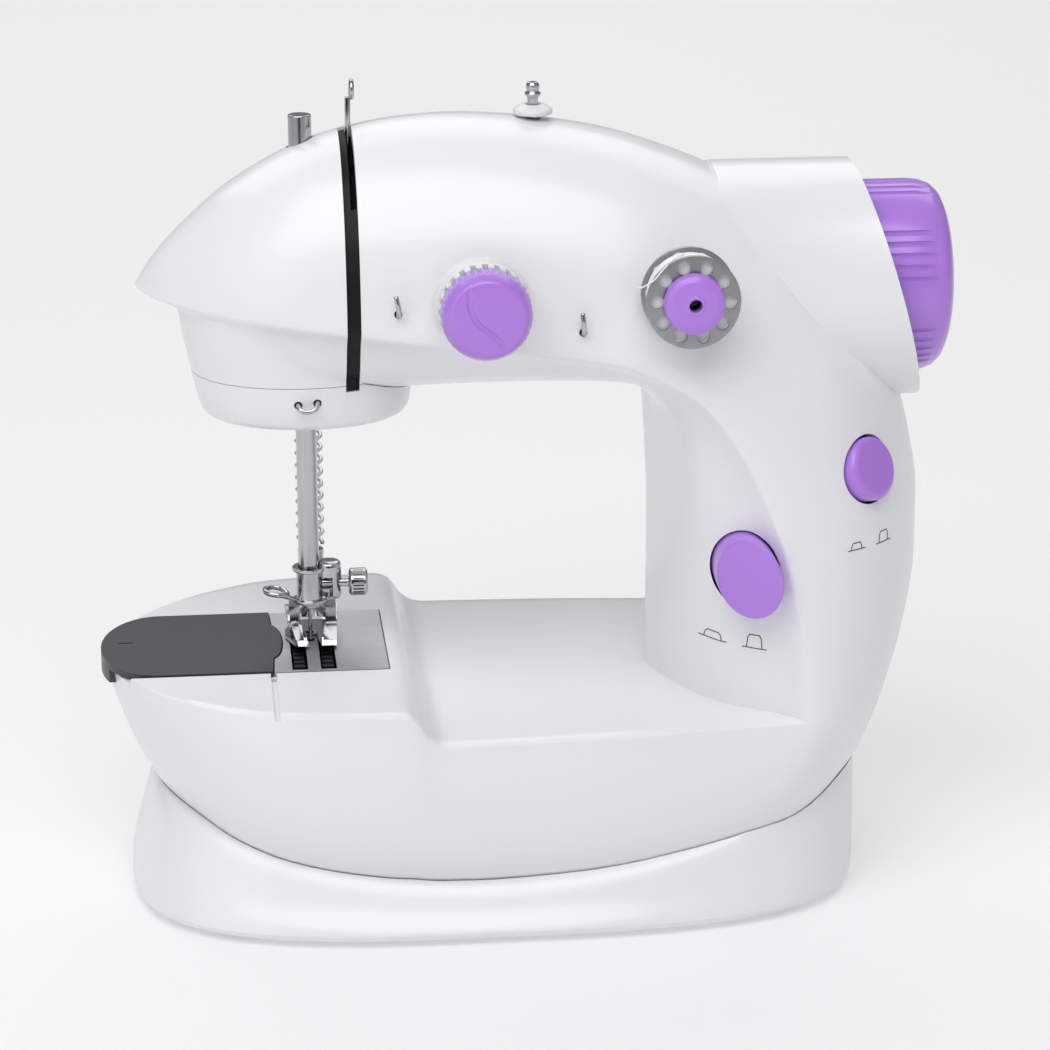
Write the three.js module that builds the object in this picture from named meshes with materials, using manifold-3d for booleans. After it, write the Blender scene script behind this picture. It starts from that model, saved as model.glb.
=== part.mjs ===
// Portable mini sewing machine, an assembly of separate sub-parts.
// Millimetres, +Z up, +X towards the hand wheel, -Y towards the user.
// X = 0 and Y = 0 are the middle of the overall box, Z = 0 is the table it stands on.
import * as THREE from 'three';
import { mergeVertices, toCreasedNormals } from 'three/addons/utils/BufferGeometryUtils.js';
import Module from 'manifold-3d';

const wasm = await Module();
wasm.setup();
const { Manifold } = wasm;

// ---------------------------------------------------------------- driving dimensions
const WALL = 2.4;            // shell wall
const GAP = 0.3;             // clearance between neighbouring pieces
const TABLE_Z = 54;          // raised sewing table
const DECK_Z = 46.5;         // lower deck right of the table
const SHAFT_Z = 138;         // main shaft and hand wheel axis
const WHEEL_R = 21.8;
const WHEEL_X = [75, 96];
const HOUSING_R = 27;
const NB_X = -48.4;          // needle bar axis
const NB_Y = 2;
const PB_X = -47.6;          // presser bar axis
const PB_Y = 11.2;
const CRANK_R = 12;
const LOW_Z = 35.4;           // lower shaft axis
const SLOT_X = -38.7;        // take-up slot
const DIAL = [-11.5, 143];   // tension dial axis, X and Z
const SPOOL = [32.4, 144.9]; // bobbin spindle axis, X and Z
const POWER = [74.1, 101.9]; // on/off button centre on the shell, X and Z
const SPEED = [46.9, 80];    // speed button centre, X and Z
const PLATE_Y = [-18.4, 20.8]; // front and rear edge of the table plates
const TIP_X = -83.4;         // where the slide plate starts to round off

const group = new THREE.Group();
const WHITE = 0xf1f0f4;
const PURPLE = 0xb06fe0;
const STEEL = 0xb9bbbf;
const DARK = 0x2c2c30;
const GREY = 0x8b8d92;

// ---------------------------------------------------------------- helpers
function toManifold(geometry) {
  const g = geometry.clone();
  g.deleteAttribute('normal');
  g.deleteAttribute('uv');
  const m = mergeVertices(g, 1e-3);
  const index = Array.from(m.index.array);
  const tri = [];
  for (let i = 0; i < index.length; i += 3) {
    const [a, b, c] = [index[i], index[i + 1], index[i + 2]];
    if (a !== b && b !== c && a !== c) tri.push(a, b, c);
  }
  const mesh = new wasm.Mesh({
    numProp: 3,
    vertProperties: Float32Array.from(m.attributes.position.array),
    triVerts: Uint32Array.from(tri),
  });
  return new Manifold(mesh);
}

function toGeometry(manifold) {
  const mesh = manifold.getMesh();
  const g = new THREE.BufferGeometry();
  g.setAttribute('position', new THREE.BufferAttribute(Float32Array.from(mesh.vertProperties), 3));
  g.setIndex(new THREE.BufferAttribute(Uint32Array.from(mesh.triVerts), 1));
  return toCreasedNormals(g, Math.PI / 5);
}

function add(name, solid, color, roughness = 0.4, metalness = 0, tolerance = 0.02) {
  const clean = largest(solid.simplify(tolerance));
  const geometry = toGeometry(clean);
  const material = new THREE.MeshStandardMaterial({ color, roughness, metalness });
  const mesh = new THREE.Mesh(geometry, material);
  mesh.name = name;
  group.add(mesh);
}

// the main piece of a cut solid, without the slivers a cut can leave behind
function largest(manifold) {
  return manifold.decompose().sort((a, b) => b.volume() - a.volume())[0];
}

const rad = (d) => (d * Math.PI) / 180;
const lerp = (a, b, t) => a + (b - a) * t;

function moved(geometry, x, y, z) {
  return geometry.translate(x, y, z);
}

// a cylinder along an axis ('x', 'y' or 'z'), centre of the length at (x, y, z)
function rod(axis, r, length, x, y, z, segments = 24, r2 = r) {
  const g = new THREE.CylinderGeometry(r2, r, length, segments);
  if (axis === 'x') g.rotateZ(-Math.PI / 2);
  if (axis === 'z') g.rotateX(Math.PI / 2);
  return toManifold(moved(g, x, y, z));
}

function box(x0, x1, y0, y1, z0, z1) {
  const g = new THREE.BoxGeometry(x1 - x0, y1 - y0, z1 - z0);
  return toManifold(moved(g, (x0 + x1) / 2, (y0 + y1) / 2, (z0 + z1) / 2));
}

// a lathe about +X, +Y or +Z: profile is [radius, height] pairs going up the axis
function turned(axis, profile, x, y, z, segments = 32) {
  // outward faces need the profile to run counter-clockwise
  let area = 0;
  profile.forEach((p, i) => {
    const q = profile[(i + 1) % profile.length];
    area += p[0] * q[1] - q[0] * p[1];
  });
  const points = area < 0 ? profile.slice().reverse() : profile;
  const g = new THREE.LatheGeometry(points.map((p) => new THREE.Vector2(p[0], p[1])), segments);
  if (axis === 'x') g.rotateZ(-Math.PI / 2);
  if (axis === 'z') g.rotateX(Math.PI / 2);
  return toManifold(moved(g, x, y, z));
}

// a flat outline in X-Y raised along Z
function plate(points, z0, z1) {
  const shape = new THREE.Shape(points.map((p) => new THREE.Vector2(p[0], p[1])));
  const g = new THREE.ExtrudeGeometry(shape, { depth: z1 - z0, bevelEnabled: false });
  return toManifold(moved(g, 0, 0, z0));
}

// an outline in Y-Z given a thickness along X
function plateYZ(points, x0, x1) {
  const shape = new THREE.Shape(points.map((p) => new THREE.Vector2(p[0], p[1])));
  const g = new THREE.ExtrudeGeometry(shape, { depth: x1 - x0, bevelEnabled: false });
  g.applyMatrix4(new THREE.Matrix4().set(0, 0, 1, x0, 1, 0, 0, 0, 0, 1, 0, 0, 0, 0, 0, 1));
  return toManifold(g);
}

// a round wire along a smooth path
function wire(points, radius, steps = 16, sides = 8, closed = false) {
  const path = new THREE.CatmullRomCurve3(points.map((p) => new THREE.Vector3(...p)), closed);
  const shape = new THREE.Shape();
  for (let i = 0; i < sides; i += 1) {
    const t = (i / sides) * 2 * Math.PI;
    if (i === 0) shape.moveTo(radius, 0);
    else shape.lineTo(radius * Math.cos(t), radius * Math.sin(t));
  }
  return toManifold(new THREE.ExtrudeGeometry(shape, { steps, extrudePath: path, curveSegments: 1 }));
}

// rings of points skinned into one closed tube with flat caps
function skin(rings) {
  const n = rings[0].length;
  const pos = [];
  rings.forEach((ring) => ring.forEach((p) => pos.push(...p)));
  const index = [];
  for (let i = 0; i + 1 < rings.length; i += 1) {
    for (let j = 0; j < n; j += 1) {
      const a = i * n + j;
      const b = i * n + ((j + 1) % n);
      index.push(a, b, b + n, a, b + n, a + n);
    }
  }
  const middle = (ring) => ring.reduce((s, p) => [s[0] + p[0] / n, s[1] + p[1] / n, s[2] + p[2] / n], [0, 0, 0]);
  const last = rings.length - 1;
  pos.push(...middle(rings[0]), ...middle(rings[last]));
  const c0 = rings.length * n;
  for (let j = 0; j < n; j += 1) {
    const k = (j + 1) % n;
    index.push(c0, k, j);
    index.push(c0 + 1, last * n + j, last * n + k);
  }
  const g = new THREE.BufferGeometry();
  g.setAttribute('position', new THREE.BufferAttribute(Float32Array.from(pos), 3));
  g.setIndex(index);
  return g;
}

function skinned(rings) {
  const g = skin(rings);
  const m = toManifold(g);
  if (m.volume() >= 0) return m;
  const idx = Array.from(g.index.array);
  for (let i = 0; i < idx.length; i += 3) [idx[i], idx[i + 1]] = [idx[i + 1], idx[i]];
  g.setIndex(idx);
  return toManifold(g);
}

// ---------------------------------------------------------------- main body, a C swept by sections
// Each station: outer point on Y = 0, crest of the front band, inner point on Y = 0,
// fullness of the outer curve, bulge of the inner face.
const STATIONS = [
  // O x, O z,   K x, K y, K z,      I x, I z,   n,  bulge
  [-85.7, 140.6, -85.2, 1.2, 139.7, -84.4, 138.9, 2.0, 0],
  [-83.2, 144.6, -83.2, 4.6, 139.1, -82.0, 138.0, 2.0, 0],
  [-79.6, 149.2, -80.0, 8.6, 138.4, -78.4, 137.0, 2.0, 0.3],
  [-75.2, 153.7, -76.3, 12.0, 137.9, -74.8, 134.4, 2.0, 0.6],
  [-70.6, 157.9, -72.6, 15.6, 137.7, -71.8, 127.5, 2.0, 1.2],
  [-65.2, 162.2, -67.4, 19.6, 137.5, -68.8, 120.4, 2.0, 2.6],
  [-57.4, 167.0, -59.4, 24.6, 137.0, -61.0, 116.5, 2.0, 5.0],
  [-48.0, 171.6, -49.0, 28.2, 136.1, -50.0, 116.3, 2.0, 6.4],
  [-37.4, 174.7, -38.4, 30.4, 134.9, -38.6, 116.3, 2.0, 5.4],
  [-26.3, 176.6, -27.4, 31.7, 133.6, -27.6, 116.3, 2.0, 4.4],
  [-15.0, 177.2, -16.0, 32.6, 132.4, -16.0, 116.3, 2.05, 3.4],
  [0.2, 176.2, -1.0, 34.0, 130.7, -1.0, 116.3, 2.1, 2.6],
  [18.0, 173.2, 13.9, 35.0, 128.8, 14.0, 116.3, 2.15, 2.2],
  [31.5, 169.0, 22.5, 36.0, 126.9, 24.0, 116.2, 2.15, 2.2],
  [46.9, 162.4, 29.6, 37.0, 123.6, 28.6, 114.6, 2.1, 3.0],
  [60.0, 153.8, 35.8, 38.0, 119.8, 29.4, 110.6, 2.1, 3.8],
  [72.0, 141.6, 40.4, 39.0, 114.8, 29.4, 105.0, 2.0, 4.6],
  [82.0, 125.0, 45.2, 40.0, 107.4, 29.4, 99.0, 2.0, 5.2],
  [88.6, 106.0, 49.4, 40.8, 99.0, 29.4, 92.0, 2.0, 5.6],
  [91.2, 90.0, 53.4, 41.5, 89.0, 29.4, 84.0, 2.0, 5.8],
  [91.2, 76.0, 56.6, 42.0, 77.0, 29.4, 74.0, 2.0, 5.8],
  [89.2, 61.0, 59.4, 42.0, 62.6, 29.4, 61.0, 2.0, 5.8],
  [85.2, 46.5, 60.6, 42.0, 48.0, 29.4, 48.0, 2.0, 5.8],
  [80.8, 33.4, 60.6, 42.0, 46.5, 29.4, 46.5, 1.95, 5.8],
  [75.6, 23.2, 60.6, 42.0, 46.5, 29.4, 46.5, 1.9, 5.8],
  [67.6, 14.8, 60.6, 42.0, 46.5, 29.4, 46.5, 2.2, 5.8],
  [55.6, 9.4, 54.6, 42.6, 46.5, 27.4, 46.5, 3.2, 4.6],
  [36.0, 6.6, 35.6, 44.6, 46.5, 20.0, 46.5, 4.6, 1.2],
  [13.0, 6.0, 13.0, 46.8, 46.5, 8.0, 46.5, 5.4, 0],
  [-9.3, 6.0, -9.3, 48.0, 46.5, -9.3, 46.5, 5.4, 0],
  [-19.6, 6.2, -19.6, 48.4, 46.5, -20.0, 46.5, 5.2, 0],
  [-24.4, 6.4, -24.4, 48.6, 48.6, -24.4, 48.6, 5.2, 0],
  [-27.4, 6.6, -27.4, 48.8, 52.6, -27.2, 52.6, 5.2, 0],
  [-31.0, 6.8, -31.0, 48.8, 54.0, -31.0, 54.0, 5.2, 0],
  [-42.0, 7.6, -42.0, 48.1, 54.0, -42.0, 54.0, 4.8, 0],
  [-55.0, 9.6, -57.0, 46.0, 54.0, -57.0, 54.0, 4.2, 0],
  [-66.0, 12.6, -68.0, 41.2, 54.0, -68.0, 54.0, 3.6, 0],
  [-75.6, 17.4, -77.6, 34.4, 54.0, -77.6, 54.0, 2.7, 0],
  [-83.4, 24.0, -85.0, 26.4, 54.0, -85.0, 54.0, 2.3, 0],
  [-88.6, 32.0, -89.8, 18.8, 54.0, -89.8, 54.0, 2.0, 0],
  [-92.0, 40.0, -92.8, 11.4, 54.0, -92.8, 54.0, 2.0, 0],
  [-94.3, 47.0, -94.4, 5.4, 54.0, -94.4, 54.0, 2.0, 0],
  [-94.9, 51.6, -95.0, 1.6, 54.0, -94.9, 54.0, 2.0, 0],
];
const OUT_STEPS = 6;
const IN_STEPS = 4;

function bulgeShape(u) {
  const xs = [0, 0.13, 0.28, 0.42, 0.6, 0.8, 1];
  const ys = [0, 0.12, 0.62, 0.98, 0.96, 0.62, 0];
  let i = 0;
  while (i < xs.length - 2 && u > xs[i + 1]) i += 1;
  return lerp(ys[i], ys[i + 1], (u - xs[i]) / (xs[i + 1] - xs[i]));
}

// one closed section; inset moves every face inwards
function section(station, inset, outSteps, inSteps) {
  let [ox, oz, kx, ky, kz, ix, iz] = station;
  const [n, bulge] = [station[7], station[8]];
  const len = Math.hypot(ox - ix, oz - iz);
  const ex = (ox - ix) / len;
  const ez = (oz - iz) / len;
  ox -= ex * inset;
  oz -= ez * inset;
  ix += ex * inset;
  iz += ez * inset;
  ky = Math.max(ky - inset * 1.15, 0.3);
  kx += ex * inset * 0.9;
  kz += ez * inset * 0.9;
  const half = [];
  for (let i = 0; i <= outSteps; i += 1) {
    const t = (i / outSteps) * (Math.PI / 2);
    const s = Math.sin(t) ** (2 / n);
    const c = Math.cos(t) ** (2 / n);
    half.push([kx + (ox - kx) * c, -ky * s, kz + (oz - kz) * c]);
  }
  // the inner face, bulged away from the outer side; at the deck it spreads level
  const level = station[4] === DECK_Z && station[6] === DECK_Z;
  const [bx, bz] = level ? [1, 0] : [ex, ez];
  const al = (kx - ix) * bx + (kz - iz) * bz;
  const dl = Math.hypot(al, ky) || 1;
  for (let i = 1; i <= inSteps; i += 1) {
    const u = i / inSteps;
    const b = bulge * bulgeShape(u);
    const outA = (-ky / dl) * b;
    const outY = (-al / dl) * b;
    half.push([
      lerp(kx, ix, u) + bx * outA,
      -ky * (1 - u) + outY * (u < 1 ? 1 : 0),
      lerp(kz, iz, u) + bz * outA,
    ]);
  }
  const back = half.slice(1, -1).reverse().map((p) => [p[0], -p[1], p[2]]);
  return half.concat(back);
}

function cBody(inset, first = 0, last = STATIONS.length - 1, outSteps = OUT_STEPS, inSteps = IN_STEPS) {
  const rings = [];
  for (let i = first; i <= last; i += 1) rings.push(section(STATIONS[i], inset, outSteps, inSteps));
  return skinned(rings);
}

const hull = cBody(0);
const hullGrown = cBody(-GAP);
const cavity = cBody(WALL, 3, STATIONS.length - 5, 4, 3);

// wheel housing: a round drum on the arm, its open end cut on a slant
function drum(radius, x0) {
  const slant = new THREE.BoxGeometry(60, 80, 120);
  slant.rotateY(rad(-16.2));
  const cut = toManifold(moved(slant, 81.2 + 30 * Math.cos(rad(16.2)), 0, SHAFT_Z + 30 * Math.sin(rad(16.2))));
  return rod('x', radius, 100 - x0, (100 + x0) / 2, 0, SHAFT_Z, 48).subtract(cut);
}
// the oval skirt under the head, which carries on the sides of the head cover
const skirt = skinned([oval(-49.3, 24.7, 21, 121.3), oval(-50.4, 25, 22, 128), oval(-51.4, 25.3, 23.2, 136.2)]);
const outer = hull.add(drum(HOUSING_R, 43)).add(skirt);
const inner = cavity.add(drum(HOUSING_R - WALL, 50)).add(
  rod('x', WHEEL_R + 0.9, 40, 94.5, 0, SHAFT_Z, 48),
);

const throughX = 400;
function halfSpace(side) {
  return side < 0 ? box(-throughX, throughX, -200, -0.15, -50, 300) : box(-throughX, throughX, 0.15, 200, -50, 300);
}

// openings cut in the shells
const JACK_Z = 17;
const jackHoles = [7, 20];
const jackBore = rod('x', 4.2, 30, 72, jackHoles[0], JACK_Z, 20).add(rod('x', 4.2, 30, 72, jackHoles[1], JACK_Z, 20));
const needleHole = rod('z', 3.1, 200, NB_X, NB_Y, 212, 20);
const headWindow = (() => {
  const pts = [];
  for (let i = 0; i < 28; i += 1) {
    const t = (i / 28) * 2 * Math.PI;
    pts.push([-47 + 17.5 * Math.cos(t), 15 * Math.sin(t)]);
  }
  return plate(pts, 108, 130);
})();
const floorWindow = plate([[-64, -33], [56, -33], [56, 33], [-64, 33]], 0, 20);
const slotCut = box(SLOT_X - 1.5, SLOT_X + 1.5, -60, 6, 124, 220).subtract(cBody(9, 3, 20, 4, 3))
  .add(box(SLOT_X - 1.5, SLOT_X + 1.5, -32, -10, 121, 136));
const tableCut = box(-60.3, -31.2, PLATE_Y[0] - 0.3, PLATE_Y[1] + 0.3, TABLE_Z - 1.5, TABLE_Z + 5);
const slideCut = box(-120, -59.2, PLATE_Y[0] - 0.3, PLATE_Y[1] + 0.3, TABLE_Z - 1.5, TABLE_Z + 5);
const bayCut = box(-84, -34.5, -15.6, 18, 40, TABLE_Z + 5);
const grooveCut = box(-58.3, -57, -60, -18.6, TABLE_Z - 0.8, TABLE_Z + 5);
const dialHole = rod('y', 4.3, 40, DIAL[0], -30, DIAL[1], 20);
const spoolHole = rod('y', 2.4, 40, SPOOL[0], -30, SPOOL[1], 16);
const SPEED_R = [6.5, 9];    // the speed button is an upright oval
function ovalAlongY(grow, y0, y1) {
  const g = new THREE.CylinderGeometry(1, 1, y1 - y0, 28);
  g.scale(SPEED_R[0] + grow, 1, SPEED_R[1] + grow);
  return toManifold(moved(g, SPEED[0], (y0 + y1) / 2, SPEED[1]));
}
const speedHole = ovalAlongY(0.5, -70, -10);
const guideHoles = rod('y', 0.9, 30, -29.3, -30, 140, 8).add(rod('y', 0.9, 30, 10.3, -32, 135.8, 8));
const studHole = rod('z', 1.9, 30, 3, 0, 172, 12);
const leverHole = box(-50.6, -45.4, 10, 60, 141, 158.5);

// the on/off button sits square to the rounded side of the column
const POWER_TURN = 40;
const POWER_RISE = 20;
const POWER_Y = -31.3;
function alongPower(manifold, out) {
  const dx = Math.sin(rad(POWER_TURN)) * Math.cos(rad(POWER_RISE)) * out;
  const dy = -Math.cos(rad(POWER_TURN)) * Math.cos(rad(POWER_RISE)) * out;
  const dz = Math.sin(rad(POWER_RISE)) * out;
  return manifold.rotate([-POWER_RISE, 0, 0]).rotate([0, 0, POWER_TURN])
    .translate([POWER[0] + dx, POWER_Y + dy, POWER[1] + dz]);
}
const powerHole = alongPower(rod('y', 7.7, 16, 0, 0, 0, 28), 0);

let shell = outer.subtract(inner);
[needleHole, headWindow, floorWindow, slotCut, tableCut, slideCut, bayCut, grooveCut, dialHole, spoolHole,
  speedHole, guideHoles, studHole, powerHole, leverHole, jackBore].forEach((cut) => { shell = shell.subtract(cut); });

add('front_shell', shell.intersect(halfSpace(-1)), WHITE, 0.32, 0, 0.1);
add('rear_shell', shell.intersect(halfSpace(1)), WHITE, 0.32, 0, 0.1);

// ---------------------------------------------------------------- base stand
function squircle(cx, a, b, n, z, count) {
  const ring = [];
  for (let i = 0; i < count; i += 1) {
    const t = (i / count) * 2 * Math.PI;
    const c = Math.cos(t);
    const s = Math.sin(t);
    const x = cx + a * Math.sign(c) * Math.abs(c) ** (2 / n);
    const y = b * Math.sign(s) * Math.abs(s) ** (2 / n);
    ring.push([x, y, typeof z === 'function' ? z(x, y) : z]);
  }
  return ring;
}
const seam = (x) => 11.6 + 0.00252 * (x + 10) ** 2;
const baseOuter = skinned([
  squircle(-7, 83.4, 51.2, 3.2, 1.5, 32),
  squircle(-7, 84, 52, 3.2, 3.1, 32),
  squircle(-5.4, 83, 49.2, 2.9, (x) => lerp(1.5, seam(x), 0.5), 32),
  squircle(-3.4, 81.2, 46, 2.7, (x) => seam(x), 32),
  squircle(-3, 78.6, 43.4, 2.6, (x) => seam(x) + 1.4, 32),
]);
const baseInner = skinned([
  squircle(-7, 80.8, 46, 2.8, 6, 32),
  squircle(-5.4, 79.6, 45, 2.7, (x) => lerp(6, seam(x) - 2, 0.5), 32),
  squircle(-3.4, 77.8, 43, 2.6, (x) => seam(x) - 2, 32),
  squircle(-3, 75.4, 40.4, 2.6, (x) => seam(x) - 0.6, 32),
]);
const doorRecess = plate([[-62, -19.6], [73, -19.6], [73, 19.6], [-62, 19.6]], 0, 3.8);
const trayHole = plate([[-55.6, -17.4], [51.6, -17.4], [51.6, 17.4], [-55.6, 17.4]], 0, 12);
let base = baseOuter.subtract(hullGrown).subtract(
  baseInner.add(plate([[-60, -34], [56, -34], [56, 34], [-60, 34]], 6.2, 30)),
);
base = base.subtract(doorRecess).subtract(trayHole);
const feet = [[-66, -34], [52, -34], [-66, 34], [52, 34]];
feet.forEach(([x, y]) => { base = base.subtract(rod('z', 5.3, 4, x, y, 1.2, 20)); });
jackHoles.forEach((y) => { base = base.subtract(rod('x', 4.2, 24, 76, y, JACK_Z, 20)); });
add('base_stand', base, WHITE, 0.34, 0, 0.08);
feet.forEach(([x, y], i) => {
  const where = ['front_left', 'front_right', 'rear_left', 'rear_right'][i];
  add(`rubber_foot_${where}`, turned('z', [[0, 0], [4.2, 0], [5, 0.8], [5, 2.9], [0, 2.9]], x, y, 0, 14), DARK, 0.9);
});
jackHoles.forEach((y, i) => {
  const barrel = turned('x', [[1.1, 0], [3.9, 0], [3.9, 8.4], [2.7, 8.4], [2.7, 1], [1.1, 1], [1.1, 0]], 0, y, JACK_Z, 20);
  add(['dc_jack', 'pedal_jack'][i], barrel.translate([i ? 67.4 : 70.2, 0, 0]), DARK, 0.6);
});

// battery drawer: door under the floor, tray above it, four AA cells inside
const doorOutline = [[-60, -18.8], [53, -18.8], [53, 18.8], [-60, 18.8]];
const doorGrip = box(34, 44, -8, 8, 0.8, 2.2).subtract(box(35.4, 36.8, -7, 7, 0, 1.6))
  .subtract(box(38.4, 39.8, -7, 7, 0, 1.6)).subtract(box(41.4, 42.8, -7, 7, 0, 1.6));
add('battery_door', plate(doorOutline, 1.9, 3.5).add(doorGrip), WHITE, 0.36);
const tray = box(-55.2, 51.2, -17, 17, 4.2, 20.2).subtract(box(-54, 50, -15.8, 15.8, 0, 19));
add('battery_tray', tray.add(box(-2.6, -1.4, -15.6, 15.6, 4.2, 19.6)), GREY, 0.6);
[[-28.4, -7.8], [24.4, -7.8], [-28.4, 7.8], [24.4, 7.8]].forEach(([x, y], i) => {
  const dir = i % 3 === 0 ? 1 : -1;
  const cell = turned('x', [[0, -24.6], [7.1, -24.6], [7.1, 23.6], [2.7, 23.6], [2.7, 24.8], [0, 24.8]], 0, 0, 0, 12);
  add(`aa_cell_${i + 1}`, (dir > 0 ? cell : cell.rotate([0, 0, 180])).translate([x, y, 11.6]), 0x3a3c42, 0.4, 0.2);
});

// ---------------------------------------------------------------- head cover under the needle end
function oval(cx, a, b, z, count = 24, n = 2.1) {
  return squircle(cx, a, b, n, z, count);
}
const headOuter = skinned([oval(-48.2, 21.2, 17.4, 110.6), oval(-48.5, 22.9, 19, 111.6), oval(-48.7, 23.9, 20.2, 114.8),
  oval(-49.3, 24.7, 21, 121)]);
const headInner = skinned([oval(-48.4, 21.2, 17.4, 112.8), oval(-49.2, 22.8, 18.6, 125)]);
const guideBores = rod('y', 0.95, 12, -50.8, -21, 117.2, 8).add(rod('y', 0.95, 12, -46.6, -21, 117.6, 8));
const head = headOuter.subtract(headInner).subtract(guideBores).subtract(hullGrown).subtract(rod('z', 2.8, 40, NB_X, NB_Y, 112, 20))
  .subtract(rod('z', 2.3, 40, PB_X, PB_Y, 112, 20)).subtract(box(SLOT_X - 1.5, SLOT_X + 1.5, -30, -15, 119.6, 140));
add('head_cover', largest(head), WHITE, 0.36);

// ---------------------------------------------------------------- hand wheel and upper shaft
let wheel = turned('x', [[0, 9.6], [2.4, 9.6], [2.4, 0], [6, 0], [6, 13], [19.4, 13], [19.4, 0], [WHEEL_R - 0.4, 0],
  [WHEEL_R, 0.5], [WHEEL_R, 15.6], [20.8, 18.2], [17.4, 19.8], [11, 20.8], [0, 21]], WHEEL_X[0], 0, SHAFT_Z, 36);
for (let g = 0; g < 8; g += 1) {
  const a = rad(g * 45 + 10);
  const y = Math.cos(a) * (WHEEL_R + 0.35);
  const z = Math.sin(a) * (WHEEL_R + 0.35);
  wheel = wheel.subtract(rod('x', 0.9, 15, WHEEL_X[0] + 8.6, y, SHAFT_Z + z, 4));
}
add('hand_wheel', wheel, PURPLE, 0.42);
add('main_shaft', rod('x', 2, 124.8, -40.4 + 62.4 - 0.2, 0, SHAFT_Z, 20), STEEL, 0.25, 1);
const crank = rod('x', 15, 2.4, -42.2, 0, SHAFT_Z, 40).subtract(rod('x', 2.3, 10, -41, 0, SHAFT_Z, 20).translate([0.4, 0, 0]))
  .add(rod('x', 1.5, 2.2, -44.3, 0, SHAFT_Z - CRANK_R, 12)).subtract(box(-50, -30, -12, 12, SHAFT_Z + 5, SHAFT_Z + 20));
add('crank_disc', crank, GREY, 0.4, 0.8);

function gearRing(teeth, module, width, x, y, z, bore, phase = 0) {
  const pts = [];
  const rp = (teeth * module) / 2;
  for (let i = 0; i < teeth; i += 1) {
    const a = ((i + phase) / teeth) * 2 * Math.PI;
    const p = (2 * Math.PI) / teeth;
    [[-0.3, rp - 1.1 * module], [-0.13, rp + 0.8 * module], [0.13, rp + 0.8 * module], [0.3, rp - 1.1 * module]]
      .forEach(([f, r]) => pts.push([r * Math.cos(a + f * p), r * Math.sin(a + f * p)]));
  }
  return plateYZ(pts, x, x + width).translate([0, y, z]).subtract(rod('x', bore, 40, x, y, z, 20));
}
add('wheel_gear', gearRing(32, 1.2, 4.6, 68.6, 0, SHAFT_Z, 2.3), 0xe8e6dc, 0.5);
const MOTOR_Z = SHAFT_Z - (32 + 8) * 0.6 - 0.2;
add('motor_pinion', gearRing(8, 1.2, 4.6, 68.6, 0, MOTOR_Z, 1.15, 0.5), 0xe8e6dc, 0.5);
const motor = turned('x', [[0, -1.6], [3, -1.6], [3, 0], [10.4, 0], [10.4, 23], [3, 23], [3, 24.4], [1, 24.4],
  [1, 34.8], [0, 34.8]], 37.6, 0, MOTOR_Z, 28);
add('motor', motor, STEEL, 0.35, 0.9);

// toothed belt from the upper shaft to the lower shaft: 2 to 1, so the hook turns twice a stitch
const PULLEY_R = [12, 6];
const BELT_X = [62.6, 66.4];
function pulley(r, z, bore) {
  return turned('x', [[bore, -2.6], [r + 1.4, -2.6], [r + 1.4, -2.1], [r - 0.3, -2], [r - 0.3, 2], [r + 1.4, 2.1],
    [r + 1.4, 2.6], [bore, 2.6], [bore, -2.6]], 64.5, 0, z, 24);
}
add('upper_pulley', pulley(PULLEY_R[0], SHAFT_Z, 2.3), GREY, 0.5);
add('lower_pulley', pulley(PULLEY_R[1], LOW_Z, 2.3), GREY, 0.5);
function beltLoop(extra) {
  const pts = [];
  const d = SHAFT_Z - LOW_Z;
  const lean = Math.asin((PULLEY_R[0] - PULLEY_R[1]) / d);
  const [r1, r2] = [PULLEY_R[0] + extra, PULLEY_R[1] + extra];
  for (let i = 0; i <= 16; i += 1) {
    const a = lerp(-lean, Math.PI + lean, i / 16);
    pts.push([r1 * Math.cos(a), SHAFT_Z + r1 * Math.sin(a)]);
  }
  for (let i = 0; i <= 12; i += 1) {
    const a = lerp(Math.PI + lean, 2 * Math.PI - lean, i / 12);
    pts.push([r2 * Math.cos(a), LOW_Z + r2 * Math.sin(a)]);
  }
  return pts;
}
const belt = plateYZ(beltLoop(1.3), BELT_X[0] + 0.2, BELT_X[1] - 0.2).subtract(plateYZ(beltLoop(0.1), 0, 100));
add('drive_belt', belt, DARK, 0.8);

// ---------------------------------------------------------------- lower shaft, hook and bobbin
add('lower_shaft', rod('x', 2, 120.6, 8.6, 0, LOW_Z, 20), STEEL, 0.25, 1);
const HOOK_X = -68.5;
let hook = turned('x', [[2.3, 16.4], [4.6, 16.4], [4.6, 13.8], [14.6, 13.8], [14.6, 0], [13.5, 0], [13.5, 12.4],
  [2.3, 12.4], [2.3, 16.4]], HOOK_X, 0, LOW_Z, 28);
hook = hook.subtract(box(HOOK_X - 1, HOOK_X + 9, 4, 20, LOW_Z - 3, LOW_Z + 20));
add('rotary_hook', hook, STEEL, 0.25, 1);
let caseCup = turned('x', [[0, 10.9], [13, 10.9], [13, -0.6], [11.8, -0.6], [11.8, 9.8], [1.9, 9.8], [1.9, 1.5], [0, 1.5],
  [0, 10.9]], HOOK_X, 0, LOW_Z, 28);
caseCup = caseCup.subtract(box(HOOK_X - 2, HOOK_X + 5, -2, 2, LOW_Z + 8, LOW_Z + 16));
add('bobbin_case', caseCup, 0xa9abb0, 0.3, 0.9);
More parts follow.
